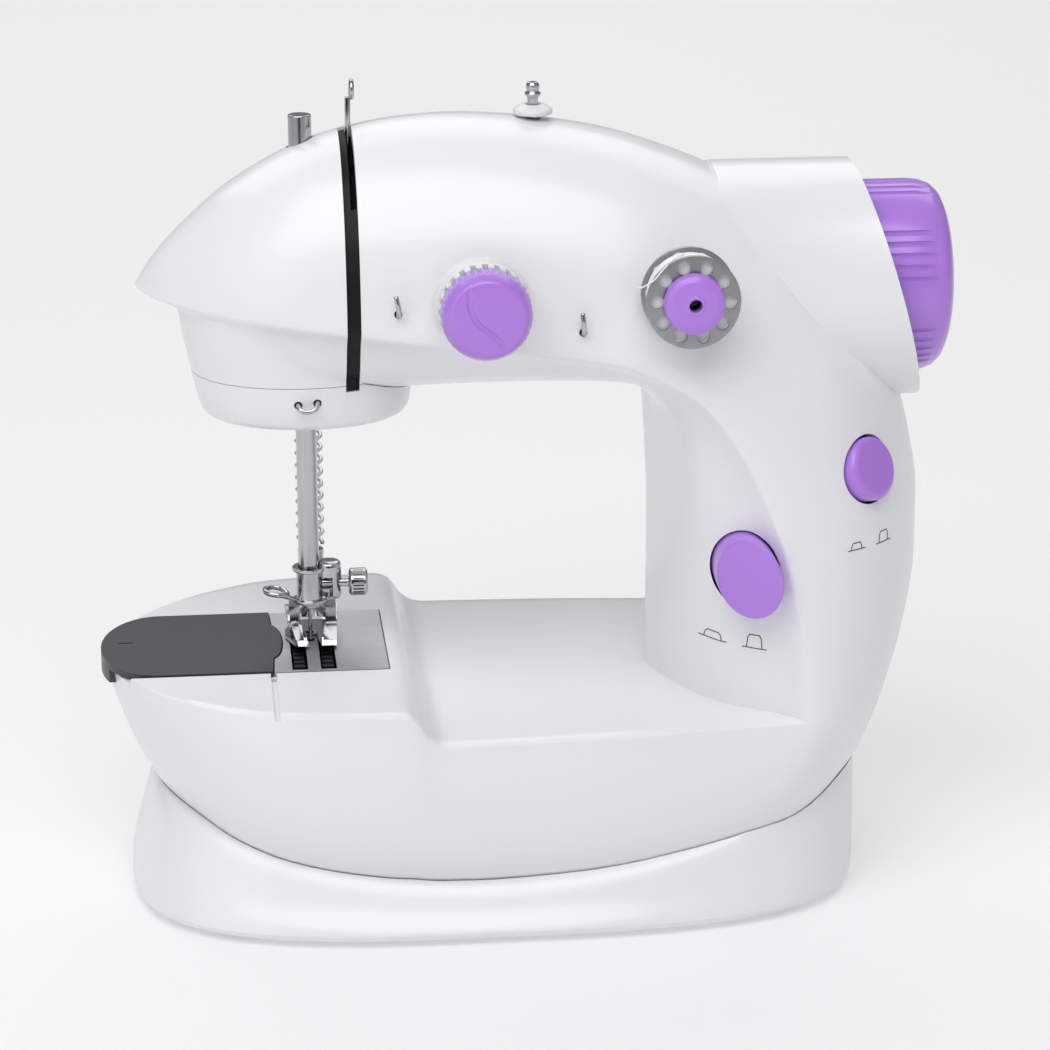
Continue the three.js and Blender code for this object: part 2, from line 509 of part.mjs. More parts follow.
function bobbinSolid(z, y, axis, x, bore, holes) {
  let b = turned(axis, [[bore, 0], [10.2, 0], [10.2, 0.8], [3.6, 0.8], [3.6, 8.0], [10.2, 8.0], [10.2, 8.8], [bore, 8.8],
    [bore, 0]], 0, 0, 0, 20);
  for (let i = 0; i < holes; i += 1) {
    const a = (i / holes) * 2 * Math.PI;
    const [u, v] = [7.9 * Math.cos(a), 7.9 * Math.sin(a)];
    const tool = axis === 'x' ? rod('x', 1.15, 30, 0, u, v, 5) : rod('y', 1.15, 30, u, 0, v, 5);
    b = b.subtract(tool);
  }
  return b.translate([x, y, z]);
}
add('lower_bobbin', bobbinSolid(LOW_Z, 0, 'x', HOOK_X + 0.4, 2.4, 0), 0xc9cbd0, 0.3, 0.9);

// feed dog: two toothed rows on a carrier that ride in the needle-plate slots
let feed = box(-53.8, -43, -14, 5, 46.6, 49.2);
[-51.5, -45].forEach((x) => {
  feed = feed.add(box(x - 1.25, x + 1.25, -13.4, 4.4, 48.6, 53.2));
  for (let i = 0; i < 6; i += 1) feed = feed.subtract(box(x - 2, x + 2, -11.6 + i * 2.6, -10.6 + i * 2.6, 52.5, 56));
});
feed = feed.subtract(rod('z', 2.6, 40, NB_X, NB_Y, 48, 14)).add(box(-43.6, -33, -3, 3, 46.6, 48.4));
add('feed_dog', feed, 0x77797e, 0.35, 0.9);

// ---------------------------------------------------------------- plates on the table
const bumpX = (y, gap) => -57.7 + gap + 2.6 * Math.sqrt(Math.max(0, 1 - ((y - 1.3) / 11.1) ** 2));
const bump = (gap) => [12.3, 11.4, 9.4, 5.8, 1.3, -3.2, -6.8, -8.8, -9.7].map((y) => [bumpX(y, gap), y]);
const rearPart = [[-57.4, PLATE_Y[1]]].concat(bump(0.3)).concat([[-57.4, PLATE_Y[0]]]);
let needlePlate = plate([[-31.6, PLATE_Y[0]], [-31.6, PLATE_Y[1]]].concat(rearPart), TABLE_Z - 1.2, TABLE_Z + 0.1);
needlePlate = needlePlate.subtract(rod('z', 1.1, 20, NB_X, NB_Y, TABLE_Z, 12))
  .subtract(box(-53.3, -49.7, -17.2, 8.2, 40, 60)).subtract(box(-46.8, -43.2, -17.2, 8.2, 40, 60));
add('needle_plate', needlePlate, STEEL, 0.28, 1);
const tip = [];
for (let i = 0; i <= 14; i += 1) {
  const a = rad(lerp(90, 270, i / 14));
  tip.push([TIP_X + 13.2 * Math.cos(a), 1.2 + 19.5 * Math.sin(a)]);
}
let slide = plate(tip.concat([[-57.7, PLATE_Y[0] + 0.1]]).concat(bump(0).reverse()).concat([[-57.7, PLATE_Y[1] - 0.1]]),
  TABLE_Z - 1.2, TABLE_Z + 0.4);
slide = slide.subtract(box(-92.6, -89.2, 3, 3.6, TABLE_Z + 0.2, 60));
// its rounded end turns down over the bow of the shell
const lipOutline = tip.filter((p) => p[1] < 15 && p[1] > -10).concat([[-88, -9.4], [-88, 14.6]]);
slide = slide.add(plate(lipOutline, TABLE_Z - 4.4, TABLE_Z - 0.6).subtract(hullGrown));
add('slide_plate', slide, 0x3b3b3f, 0.45);

// ---------------------------------------------------------------- needle bar and its fittings
let bar = rod('z', 2.35, 66, NB_X, NB_Y, 97, 20).add(rod('z', 2.6, 47.8, NB_X, NB_Y, 153.4, 20));
bar = bar.subtract(rod('z', 1.05, 14, NB_X, NB_Y, 68, 12));
add('needle_bar', bar, STEEL, 0.2, 1);
add('bar_collar', rod('z', 4.4, 6.4, NB_X, NB_Y, 121, 24).subtract(rod('z', 2.9, 30, NB_X, NB_Y, 121, 24))
  .subtract(box(NB_X + 2.6, NB_X + 8, -6, 10, 117, 125)), GREY, 0.35, 0.9);
add('needle', turned('z', [[0, 40.6], [0.3, 42.2], [0.42, 46], [0.42, 61.9], [1.6, 62.1], [1.6, 63.8], [0.8, 63.8], [0.8, 74.4],
  [0, 74.4]],
  NB_X, NB_Y, 0, 10), STEEL, 0.2, 1);
let clamp = rod('z', 3.4, 8, NB_X, NB_Y, 67.6, 24).add(rod('z', 3.9, 0.9, NB_X, NB_Y, 71.7, 24))
  .add(rod('z', 3.9, 0.9, NB_X, NB_Y, 64.2, 24)).add(rod('z', 2.8, 9.4, -43.8, NB_Y, 68.6, 20))
  .add(box(NB_X, -43.8, NB_Y - 2.2, NB_Y + 2.2, 63.9, 71.6)).subtract(rod('z', 2.6, 30, NB_X, NB_Y, 67.6, 20)).subtract(rod('x', 1.5, 10, NB_X + 7.6, NB_Y, 68, 14));
clamp = clamp.add(wire([[-51.4, NB_Y - 1.4, 64.2], [-53.6, NB_Y - 3, 64.6], [-57, NB_Y - 3.6, 66.2], [-58.8, NB_Y - 1.8, 67.6],
  [-57.4, NB_Y + 0.4, 67], [-54.8, NB_Y - 0.4, 65.4]], 0.55, 18, 6));
add('needle_clamp', largest(clamp), STEEL, 0.28, 1);
const screwHead = gearRing(16, 0.36, 4.4, -39.4, NB_Y, 68, 0.01);
add('clamp_screw', rod('x', 1.1, 6.6, -42.4, NB_Y, 68, 12).add(screwHead), STEEL, 0.3, 1);

// ---------------------------------------------------------------- presser bar, spring, foot and lifter
add('presser_bar', rod('z', 1.9, 84, PB_X, PB_Y, 63.6 + 42, 16).add(box(PB_X - 2.4, PB_X + 1.2, PB_Y + 1, PB_Y + 5, 134, 139)),
  STEEL, 0.25, 1);
const coil = [];
for (let i = 0; i <= 12 * 6; i += 1) {
  const a = (i / 6) * 2 * Math.PI;
  coil.push([PB_X + 2.8 * Math.cos(a), PB_Y + 2.8 * Math.sin(a), lerp(74.4, 109.4, i / 72)]);
}
add('presser_spring', wire(coil, 0.5, 72, 4), STEEL, 0.3, 1);
let shank = rod('z', 3, 9.4, PB_X, PB_Y, 68.6, 20).subtract(rod('z', 2.2, 30, PB_X, PB_Y, 68.6, 16));
shank = shank.add(box(PB_X - 2.6, PB_X + 2.6, PB_Y - 5, PB_Y - 2.4, 58.2, 68)).add(box(PB_X - 3, PB_X + 3, PB_Y - 3, PB_Y + 3, 62, 63.4));
add('foot_shank', shank, STEEL, 0.3, 1);
let sole = plate([[-54.6, -4], [-50.4, -4.4], [-49.8, 4.6], [-47, 4.6], [-46.4, -4.4], [-42.2, -4], [-42.6, 6], [-45, 12.5],
  [-51.8, 12.5], [-54.2, 6]], 54.5, 55.7);
sole = sole.add(box(PB_X - 5.4, PB_X - 3, PB_Y - 5.3, PB_Y - 1.2, 55.4, 61)).add(box(PB_X + 3, PB_X + 5.4, PB_Y - 5.3, PB_Y - 1.2, 55.4, 61));
const wing = [[-1.5, 55.5], [4.9, 57.3], [7.4, 60.2], [10.5, 60.2], [12, 55.5]];
sole = sole.add(plateYZ(wing, -54.7, -53.1)).add(plateYZ(wing, -42.9, -41.3));
sole = sole.subtract(rod('x', 0.9, 30, PB_X, PB_Y - 3.7, 59.4, 12));
add('foot_sole', sole, STEEL, 0.28, 1);
add('presser_lifter', box(-49.9, -46.1, 17, 46, 143.6, 147).subtract(rod('x', 1.2, 20, -48, 20, 145.4, 12)), 0xd7d8db, 0.4);

// ---------------------------------------------------------------- take-up lever and its black slot liner
const liner = cBody(WALL + GAP, 3, 20, 4, 3).subtract(cBody(8, 3, 20, 4, 3))
  .intersect(box(SLOT_X - 2.2, SLOT_X + 2.2, -34, 9, 121.6, 200)).subtract(box(SLOT_X - 1.5, SLOT_X + 1.5, -60, 6, 125, 220));
add('slot_liner', liner, DARK, 0.8);
const LEVER_X = -37.9;
const lever = plateYZ([[14.5, 138], [17.5, 141], [8, 156.4], [2.6, 168], [0.8, 180.1], [-0.8, 180.1], [0.2, 167.4], [4.6, 154.6],
  [12.4, 140]], LEVER_X - 0.6, LEVER_X + 0.6);
const eye = [];
for (let i = 0; i < 10; i += 1) eye.push([LEVER_X + 1, 2 * Math.cos((i / 10) * 2 * Math.PI), 182.2 + 2.5 * Math.sin((i / 10) * 2 * Math.PI)]);
add('take_up_lever', lever.add(wire(eye, 0.7, 20, 6, true)), STEEL, 0.25, 1);

// ---------------------------------------------------------------- thread path on the front of the arm
const DIAL_Y = -33.4;
add('tension_collar', turned('y', [[1.8, 0], [10.2, 0], [10.2, -2.2], [9, -3.4], [1.8, -3.4], [1.8, 0]],
  DIAL[0], DIAL_Y - 0.4, DIAL[1], 36), 0xe6e5ea, 0.4);
let ring = turned('y', [[1.8, 0], [1.8, -4.6], [9.8, -4.6], [9.8, 0], [1.8, 0]], DIAL[0], DIAL_Y - 4.2, DIAL[1], 40);
for (let i = 0; i < 16; i += 1) {
  const a = (i / 16) * 2 * Math.PI;
  ring = ring.subtract(box(-0.35, 0.35, -3.6, 1, 9, 12).rotate([0, (a * 180) / Math.PI, 0])
    .translate([DIAL[0], DIAL_Y - 5.6, DIAL[1]]));
}
add('tension_disc', ring, 0xe2e1e8, 0.4);
const knobPts = [];
for (let i = 0; i < 64; i += 1) {
  const a = (i / 64) * 2 * Math.PI;
  const r = i % 2 ? 9.75 : 9.3;
  knobPts.push([r * Math.cos(a), r * Math.sin(a)]);
}
const knobShape = new THREE.Shape(knobPts.map((p) => new THREE.Vector2(p[0], p[1])));
const knobG = new THREE.ExtrudeGeometry(knobShape, { depth: 6, bevelEnabled: false });
let knob = toManifold(knobG.rotateX(Math.PI / 2).translate(DIAL[0], DIAL_Y - 9.2, DIAL[1]));
knob = knob.intersect(turned('y', [[0, -16], [7.6, -16], [9.8, -14.4], [9.8, -9], [0, -9]], DIAL[0], DIAL_Y, DIAL[1], 32));
add('tension_dial', knob, PURPLE, 0.42);
add('tension_post', rod('y', 1.5, 26, DIAL[0], DIAL_Y + 4.2, DIAL[1], 14), STEEL, 0.3, 1);

const SPOOL_Y = -34.2;
add('bobbin_spindle', rod('y', 1.9, 34, SPOOL[0], SPOOL_Y + 4.6, SPOOL[1], 14)
  .add(rod('y', 4.4, 1.6, SPOOL[0], SPOOL_Y - 1.6, SPOOL[1], 20)), STEEL, 0.3, 1);
const spool = bobbinSolid(SPOOL[1], SPOOL_Y - 12, 'y', SPOOL[0], 2.3, 10);
add('spool_bobbin', spool, 0xcfd1d5, 0.3, 0.9);
add('spool_cap', turned('y', [[1.35, 0], [1.35, -3], [5.4, -3], [6.5, -2.2], [6.5, 0], [1.35, 0]],
  SPOOL[0], SPOOL_Y - 12.4, SPOOL[1], 28), PURPLE, 0.42);

add('thread_guide_left', wire([[-29.3, -26, 140], [-29.3, -31.6, 140.2], [-29.3, -33.2, 140.8], [-29.4, -33.8, 142.4],
  [-29.8, -33.6, 144.6]], 0.55, 14, 6), STEEL, 0.3, 1);
add('thread_guide_mid', wire([[10.3, -28, 135.8], [10.3, -34.8, 136], [10.3, -36.2, 136.8], [10.2, -36.7, 138.4], [10, -36.4, 140.6]],
  0.55, 14, 6), STEEL, 0.3, 1);
add('head_guide', wire([[-50.8, -17.4, 117.2], [-50.8, -21.6, 117], [-49.8, -22.4, 115.6], [-47.6, -22.4, 115.6],
  [-46.6, -21.6, 117.4], [-46.6, -17.4, 117.6]], 0.55, 18, 6), STEEL, 0.3, 1);
add('stud_base', turned('z', [[1.5, 0], [4.4, 0], [4.4, 1.2], [2.2, 2.2], [1.5, 2.2], [1.5, 0]], 3, 0, 176.8, 28), 0xe9e8ec, 0.3);
add('thread_stud', turned('z', [[0, -14], [1.2, -14], [1.2, 3.4], [1.9, 4.4], [1.2, 5], [1.5, 5.6], [1.5, 6.4], [1, 7], [0, 7]],
  3, 0, 176.9, 16), STEEL, 0.25, 1);

// ---------------------------------------------------------------- buttons and switches
const capProfile = [[0, 2.2], [6, 2.2], [7.1, 1.4], [7.1, -6], [0, -6]];
const cap = turned('y', capProfile.map(([r, h]) => [r, -h]), 0, 0, 0, 32);
add('power_button', alongPower(cap, 0.4), PURPLE, 0.42);
const powerSwitch = box(-5, 5, 6, 12, -5, 5).add(box(-1.6, 1.6, 4.2, 7, -1.6, 1.6));
add('power_switch', alongPower(powerSwitch.translate([0, 4.6, 0]), 0.4), DARK, 0.6);
const faceCut = new THREE.BoxGeometry(60, 20, 60);
faceCut.rotateZ(rad(-42));
const [faceX, faceY] = [SPEED[0] - 10 * Math.sin(rad(42)), -40.4 - 10 * Math.cos(rad(42))];
const speedCap = ovalAlongY(0, -56, -22).subtract(toManifold(moved(faceCut, faceX, faceY, SPEED[1])));
add('speed_button', speedCap, PURPLE, 0.42);
add('speed_switch', box(SPEED[0] - 5, SPEED[0] + 5, -15, -3, SPEED[1] - 5, SPEED[1] + 5), DARK, 0.6);

export default group;
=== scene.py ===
import bpy, bmesh, math
from mathutils import Vector, Matrix
from mathutils.bvhtree import BVHTree


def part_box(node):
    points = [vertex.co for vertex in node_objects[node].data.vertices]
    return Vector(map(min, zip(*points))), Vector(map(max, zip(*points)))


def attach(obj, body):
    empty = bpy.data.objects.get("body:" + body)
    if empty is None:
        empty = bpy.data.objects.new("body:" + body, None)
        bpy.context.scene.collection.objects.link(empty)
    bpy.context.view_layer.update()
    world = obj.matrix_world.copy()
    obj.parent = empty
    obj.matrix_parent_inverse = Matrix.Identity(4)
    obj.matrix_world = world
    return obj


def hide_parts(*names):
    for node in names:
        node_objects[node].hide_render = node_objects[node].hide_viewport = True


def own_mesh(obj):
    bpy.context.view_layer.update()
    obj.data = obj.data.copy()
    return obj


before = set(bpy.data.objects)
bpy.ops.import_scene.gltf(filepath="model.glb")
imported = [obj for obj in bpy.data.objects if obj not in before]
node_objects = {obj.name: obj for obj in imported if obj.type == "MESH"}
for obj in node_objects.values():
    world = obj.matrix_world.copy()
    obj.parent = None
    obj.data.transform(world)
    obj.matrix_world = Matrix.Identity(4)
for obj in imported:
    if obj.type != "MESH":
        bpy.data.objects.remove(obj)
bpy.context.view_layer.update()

# --- Camera, floor and studio light ---------------------------------------------------------
# A long lens a little to the left of the machine and a little above it, four soft panels, a
# pale table top and a dark card for the chrome to mirror.
aim = Vector((0.0013, 0.0, 0.081))
azimuth, elevation, distance = math.radians(6.0), math.radians(18.5), 0.770
look = Vector((math.sin(azimuth) * math.cos(elevation), math.cos(azimuth) * math.cos(elevation),
               -math.sin(elevation)))
lens = bpy.data.cameras.new("studio_camera")
lens.lens = 114.857
lens.sensor_width = 36.0
lens.clip_start = 0.01
camera = bpy.data.objects.new("studio_camera", lens)
camera.location = aim - look * distance
camera.rotation_euler = look.to_track_quat("-Z", "Y").to_euler()
bpy.context.collection.objects.link(camera)
bpy.context.scene.camera = camera

floor_mesh = bpy.data.meshes.new("table_top")
bm = bmesh.new()
bmesh.ops.create_grid(bm, x_segments=1, y_segments=1, size=6.0)
bm.to_mesh(floor_mesh)
bm.free()
floor = bpy.data.objects.new("table_top", floor_mesh)
floor.location.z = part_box("rubber_foot_front_left")[0].z - 0.0002
bpy.context.collection.objects.link(floor)
paint = bpy.data.materials.new("pale_table")
paint.use_nodes = True
paint.node_tree.nodes["Principled BSDF"].inputs["Base Color"].default_value = (0.64, 0.64, 0.645, 1)
paint.node_tree.nodes["Principled BSDF"].inputs["Roughness"].default_value = 0.7
paint.node_tree.nodes["Principled BSDF"].inputs["Emission Color"].default_value = (1, 1, 1, 1)
paint.node_tree.nodes["Principled BSDF"].inputs["Emission Strength"].default_value = 0.3
floor_mesh.materials.append(paint)


def soft_panel(name, place, target, size, power):
    lamp = bpy.data.lights.new(name, "AREA")
    lamp.shape = "RECTANGLE"
    lamp.size, lamp.size_y = size
    lamp.energy = power
    panel = bpy.data.objects.new(name, lamp)
    panel.location = place
    panel.rotation_euler = (Vector(target) - Vector(place)).to_track_quat("-Z", "Y").to_euler()
    bpy.context.collection.objects.link(panel)


soft_panel("panel_top", (-0.2, -0.62, 1.05), (0, 0, 0.08), (1.2, 0.9), 10.0)
soft_panel("panel_left", (-1.0, -0.8, 0.55), (0, 0, 0.1), (0.9, 0.9), 1.8)
soft_panel("panel_right", (1.0, -0.5, 0.5), (0, 0, 0.1), (0.7, 0.9), 0.6)
soft_panel("panel_back", (0, 1.35, 1.3), (0, 1.0, 0), (2.4, 1.4), 15.0)
card_mesh = bpy.data.meshes.new("dark_card")
bm = bmesh.new()
bmesh.ops.create_grid(bm, x_segments=1, y_segments=1, size=0.5)
bmesh.ops.scale(bm, verts=bm.verts, vec=(0.5, 1.3, 1.0))
bmesh.ops.rotate(bm, verts=bm.verts, cent=(0, 0, 0), matrix=Matrix.Rotation(math.pi / 2, 3, "X"))
bm.to_mesh(card_mesh)
bm.free()
card = bpy.data.objects.new("dark_card", card_mesh)
card.location = (-0.16, -1.35, 0.45)
bpy.context.collection.objects.link(card)
felt = bpy.data.materials.new("black_felt")
felt.use_nodes = True
felt.node_tree.nodes["Principled BSDF"].inputs["Base Color"].default_value = (0.01, 0.01, 0.01, 1)
felt.node_tree.nodes["Principled BSDF"].inputs["Roughness"].default_value = 0.9
card_mesh.materials.append(felt)
world = bpy.data.worlds.new("studio")
world.use_nodes = True
world.node_tree.nodes["Background"].inputs["Color"].default_value = (0.97, 0.97, 1.0, 1)
world.node_tree.nodes["Background"].inputs["Strength"].default_value = 0.24
bpy.context.scene.world = world
bpy.context.scene.view_settings.view_transform = "Standard"

# --- Body shells ----------------------------------------------------------------------------
# Two mirrored half shells of glossy white ABS, injection moulded and screwed together from
# behind. One C-shaped form runs from the pointed head over the arm, down the column and
# along the bed to its bow.
MM = 0.001
WALL = 2.4
TABLE_Z, DECK_Z, SHAFT_Z = 54.0, 46.5, 138.0
SLOT_X = -38.7
NB = (-48.4, 2.0)
PB = (-47.6, 11.2)
DIAL = (-11.5, 143.0)
SPOOL = (32.4, 144.9)
SPEED = (46.9, 80.0)
# outer point x z, crest x y z, inner point x z, fullness, bulge of the inner face
sections = [
    (-85.7, 140.6, -85.2, 1.2, 139.7, -84.4, 138.9, 2.0, 0),
    (-83.2, 144.6, -83.2, 4.6, 139.1, -82.0, 138.0, 2.0, 0),
    (-79.6, 149.2, -80.0, 8.6, 138.4, -78.4, 137.0, 2.0, 0.3),
    (-75.2, 153.7, -76.3, 12.0, 137.9, -74.8, 134.4, 2.0, 0.6),
    (-70.6, 157.9, -72.6, 15.6, 137.7, -71.8, 127.5, 2.0, 1.2),
    (-65.2, 162.2, -67.4, 19.6, 137.5, -68.8, 120.4, 2.0, 2.6),
    (-57.4, 167.0, -59.4, 24.6, 137.0, -61.0, 116.5, 2.0, 5.0),
    (-48.0, 171.6, -49.0, 28.2, 136.1, -50.0, 116.3, 2.0, 6.4),
    (-37.4, 174.7, -38.4, 30.4, 134.9, -38.6, 116.3, 2.0, 5.4),
    (-26.3, 176.6, -27.4, 31.7, 133.6, -27.6, 116.3, 2.0, 4.4),
    (-15.0, 177.2, -16.0, 32.6, 132.4, -16.0, 116.3, 2.05, 3.4),
    (0.2, 176.2, -1.0, 34.0, 130.7, -1.0, 116.3, 2.1, 2.6),
    (18.0, 173.2, 13.9, 35.0, 128.8, 14.0, 116.3, 2.15, 2.2),
    (31.5, 169.0, 22.5, 36.0, 126.9, 24.0, 116.2, 2.15, 2.2),
    (46.9, 162.4, 29.6, 37.0, 123.6, 28.6, 114.6, 2.1, 3.0),
    (60.0, 153.8, 35.8, 38.0, 119.8, 29.4, 110.6, 2.1, 3.8),
    (72.0, 141.6, 40.4, 39.0, 114.8, 29.4, 105.0, 2.0, 4.6),
    (82.0, 125.0, 45.2, 40.0, 107.4, 29.4, 99.0, 2.0, 5.2),
    (88.6, 106.0, 49.4, 40.8, 99.0, 29.4, 92.0, 2.0, 5.6),
    (91.2, 90.0, 53.4, 41.5, 89.0, 29.4, 84.0, 2.0, 5.8),
    (91.2, 76.0, 56.6, 42.0, 77.0, 29.4, 74.0, 2.0, 5.8),
    (89.2, 61.0, 59.4, 42.0, 62.6, 29.4, 61.0, 2.0, 5.8),
    (85.2, 46.5, 60.6, 42.0, 48.0, 29.4, 48.0, 2.0, 5.8),
    (80.8, 33.4, 60.6, 42.0, 46.5, 29.4, 46.5, 1.95, 5.8),
    (75.6, 23.2, 60.6, 42.0, 46.5, 29.4, 46.5, 1.9, 5.8),
    (67.6, 14.8, 60.6, 42.0, 46.5, 29.4, 46.5, 2.2, 5.8),
    (55.6, 9.4, 54.6, 42.6, 46.5, 27.4, 46.5, 3.2, 4.6),
    (36.0, 6.6, 35.6, 44.6, 46.5, 20.0, 46.5, 4.6, 1.2),
    (13.0, 6.0, 13.0, 46.8, 46.5, 8.0, 46.5, 5.4, 0),
    (-9.3, 6.0, -9.3, 48.0, 46.5, -9.3, 46.5, 5.4, 0),
    (-19.6, 6.2, -19.6, 48.4, 46.5, -20.0, 46.5, 5.2, 0),
    (-24.4, 6.4, -24.4, 48.6, 48.6, -24.4, 48.6, 5.2, 0),
    (-27.4, 6.6, -27.4, 48.8, 52.6, -27.2, 52.6, 5.2, 0),
    (-31.0, 6.8, -31.0, 48.8, 54.0, -31.0, 54.0, 5.2, 0),
    (-42.0, 7.6, -42.0, 48.1, 54.0, -42.0, 54.0, 4.8, 0),
    (-55.0, 9.6, -57.0, 46.0, 54.0, -57.0, 54.0, 4.2, 0),
    (-66.0, 12.6, -68.0, 41.2, 54.0, -68.0, 54.0, 3.6, 0),
    (-75.6, 17.4, -77.6, 34.4, 54.0, -77.6, 54.0, 2.7, 0),
    (-83.4, 24.0, -85.0, 26.4, 54.0, -85.0, 54.0, 2.3, 0),
    (-88.6, 32.0, -89.8, 18.8, 54.0, -89.8, 54.0, 2.0, 0),
    (-92.0, 40.0, -92.8, 11.4, 54.0, -92.8, 54.0, 2.0, 0),
    (-94.3, 47.0, -94.4, 5.4, 54.0, -94.4, 54.0, 2.0, 0),
    (-94.9, 51.6, -95.0, 1.6, 54.0, -94.9, 54.0, 2.0, 0),
]
BULGE_U = [0, 0.13, 0.28, 0.42, 0.6, 0.8, 1]
BULGE_V = [0, 0.12, 0.62, 0.98, 0.96, 0.62, 0]


def even_curve(values, t):
    """A smooth curve through the values that never swings past them."""
    i = min(int(t), len(values) - 2)
    f = t - i

    def slope(k):
        if k <= 0 or k >= len(values) - 1:
            return 0.0 if k <= 0 else values[-1] - values[-2]
        a, b = values[k] - values[k - 1], values[k + 1] - values[k]
        return 0.0 if a * b <= 0 else 2 * a * b / (a + b)

    p, q, m, n = values[i], values[i + 1], slope(i), slope(i + 1)
    return (p * (2 * f ** 3 - 3 * f ** 2 + 1) + m * (f ** 3 - 2 * f ** 2 + f)
            + q * (3 * f ** 2 - 2 * f ** 3) + n * (f ** 3 - f ** 2))


def bulge_at(u):
    k = max(j for j in range(len(BULGE_U) - 1) if u >= BULGE_U[j])
    return even_curve(BULGE_V, k + (u - BULGE_U[k]) / (BULGE_U[k + 1] - BULGE_U[k]))


def body_ring(t, inset, out_steps, in_steps):
    ox, oz, kx, ky, kz, ix, iz, full, bulge = (even_curve(c, t) for c in zip(*sections))
    away = Vector((ox - ix, 0, oz - iz)).normalized()
    outer = Vector((ox, 0, oz)) - away * inset
    inner = Vector((ix, 0, iz)) + away * inset
    ky = max(ky - inset * 1.15, 0.3)
    crest = Vector((kx, -ky, kz)) + away * inset * 0.9
    flat = Vector((crest.x, 0, crest.z))
    half = []
    for i in range(out_steps + 1):
        a = i / out_steps * math.pi / 2
        s, c = math.sin(a) ** (2 / full), math.cos(a) ** (2 / full)
        half.append(flat + (outer - flat) * c + Vector((0, -ky * s, 0)))
    push = Vector((1, 0, 0)) if t > 22 else away
    along = (flat - inner).dot(push)
    run = math.hypot(along, ky) or 1
    inward = []
    for i in range(1, in_steps + 1):
        u = i / in_steps
        b = bulge * bulge_at(min(u, 0.9999))
        p = crest.lerp(inner, u) + push * (-ky / run * b) + Vector((0, -along / run * b if u < 1 else 0, 0))
        inward.append(p)
    if inset == 0:
        soft = 0.7 if t < 22 else 1.5
        before = (half[-2] - crest)
        after = (inward[0] - crest)
        a = crest + before.normalized() * min(soft, before.length * 0.45)
        b = crest + after.normalized() * min(soft, after.length * 0.45)
        half[-1:] = [a, (a + b) * 0.3 + crest * 0.4, b]
    half += inward
    return [p * MM for p in half] + [Vector((p.x, -p.y, p.z)) * MM for p in reversed(half[1:-1])]


def skin(rings):
    """Joins closed rings of points into one capped body."""
    bm = bmesh.new()
    loops = [[bm.verts.new(p) for p in ring] for ring in rings]
    for a, b in zip(loops, loops[1:]):
        for j in range(len(a)):
            k = (j + 1) % len(a)
            bm.faces.new((a[j], a[k], b[k], b[j]))
    bm.faces.new(loops[0][::-1])
    bm.faces.new(loops[-1])
    bmesh.ops.remove_doubles(bm, verts=bm.verts, dist=0.00002)
    bmesh.ops.dissolve_degenerate(bm, dist=0.000005, edges=bm.edges)
    bmesh.ops.recalc_face_normals(bm, faces=bm.faces)
    return bm


def solid(name, bm, finish=None):
    mesh = bpy.data.meshes.new(name)
    bm.to_mesh(mesh)
    bm.free()
    obj = bpy.data.objects.new(name, mesh)
    bpy.context.collection.objects.link(obj)
    if finish:
        mesh.materials.append(finish)
    return obj


def c_body(name, inset, first, last, density, out_steps, in_steps, finish=None):
    count = int((last - first) * density)
    return solid(name, skin([body_ring(first + (last - first) * i / count, inset, out_steps, in_steps)
                             for i in range(count + 1)]), finish)


def block(x0, x1, y0, y1, z0, z1):
    bm = bmesh.new()
    bmesh.ops.create_cube(bm, size=1.0)
    bmesh.ops.scale(bm, verts=bm.verts, vec=Vector((x1 - x0, y1 - y0, z1 - z0)) * MM)
    bmesh.ops.translate(bm, verts=bm.verts, vec=Vector((x0 + x1, y0 + y1, z0 + z1)) * MM / 2)
    return bm


AXES = {"x": Matrix.Rotation(math.pi / 2, 3, "Y"), "y": Matrix.Rotation(-math.pi / 2, 3, "X"),
        "z": Matrix.Identity(3)}


def bar(axis, radius, length, centre, steps=48):
    bm = bmesh.new()
    bmesh.ops.create_cone(bm, cap_ends=True, segments=steps, radius1=radius * MM, radius2=radius * MM,
                          depth=length * MM)
    bmesh.ops.rotate(bm, verts=bm.verts, cent=(0, 0, 0), matrix=AXES[axis])
    bmesh.ops.translate(bm, verts=bm.verts, vec=Vector(centre) * MM)
    return bm


def cut(target, tool, how="DIFFERENCE"):
    """Adds to or cuts a solid with a tool, given as a bmesh or an object."""
    tool = tool if isinstance(tool, bpy.types.Object) else solid("tool", tool)
    step = target.modifiers.new("cut", "BOOLEAN")
    step.operation = how
    step.solver = "MANIFOLD"
    step.object = tool
    bpy.context.view_layer.update()
    graph = bpy.context.evaluated_depsgraph_get()
    graph.update()
    made = bpy.data.meshes.new_from_object(target.evaluated_get(graph))
    target.modifiers.clear()
    old = target.data
    target.data = made
    bpy.data.meshes.remove(old)
    bpy.data.objects.remove(tool)
    return target


def copy_of(obj, name):
    twin = bpy.data.objects.new(name, obj.data.copy())
    bpy.context.collection.objects.link(twin)
    return twin


def smooth(obj, degrees=32):
    obj.data.shade_smooth()
    obj.data.set_sharp_from_angle(angle=math.radians(degrees))


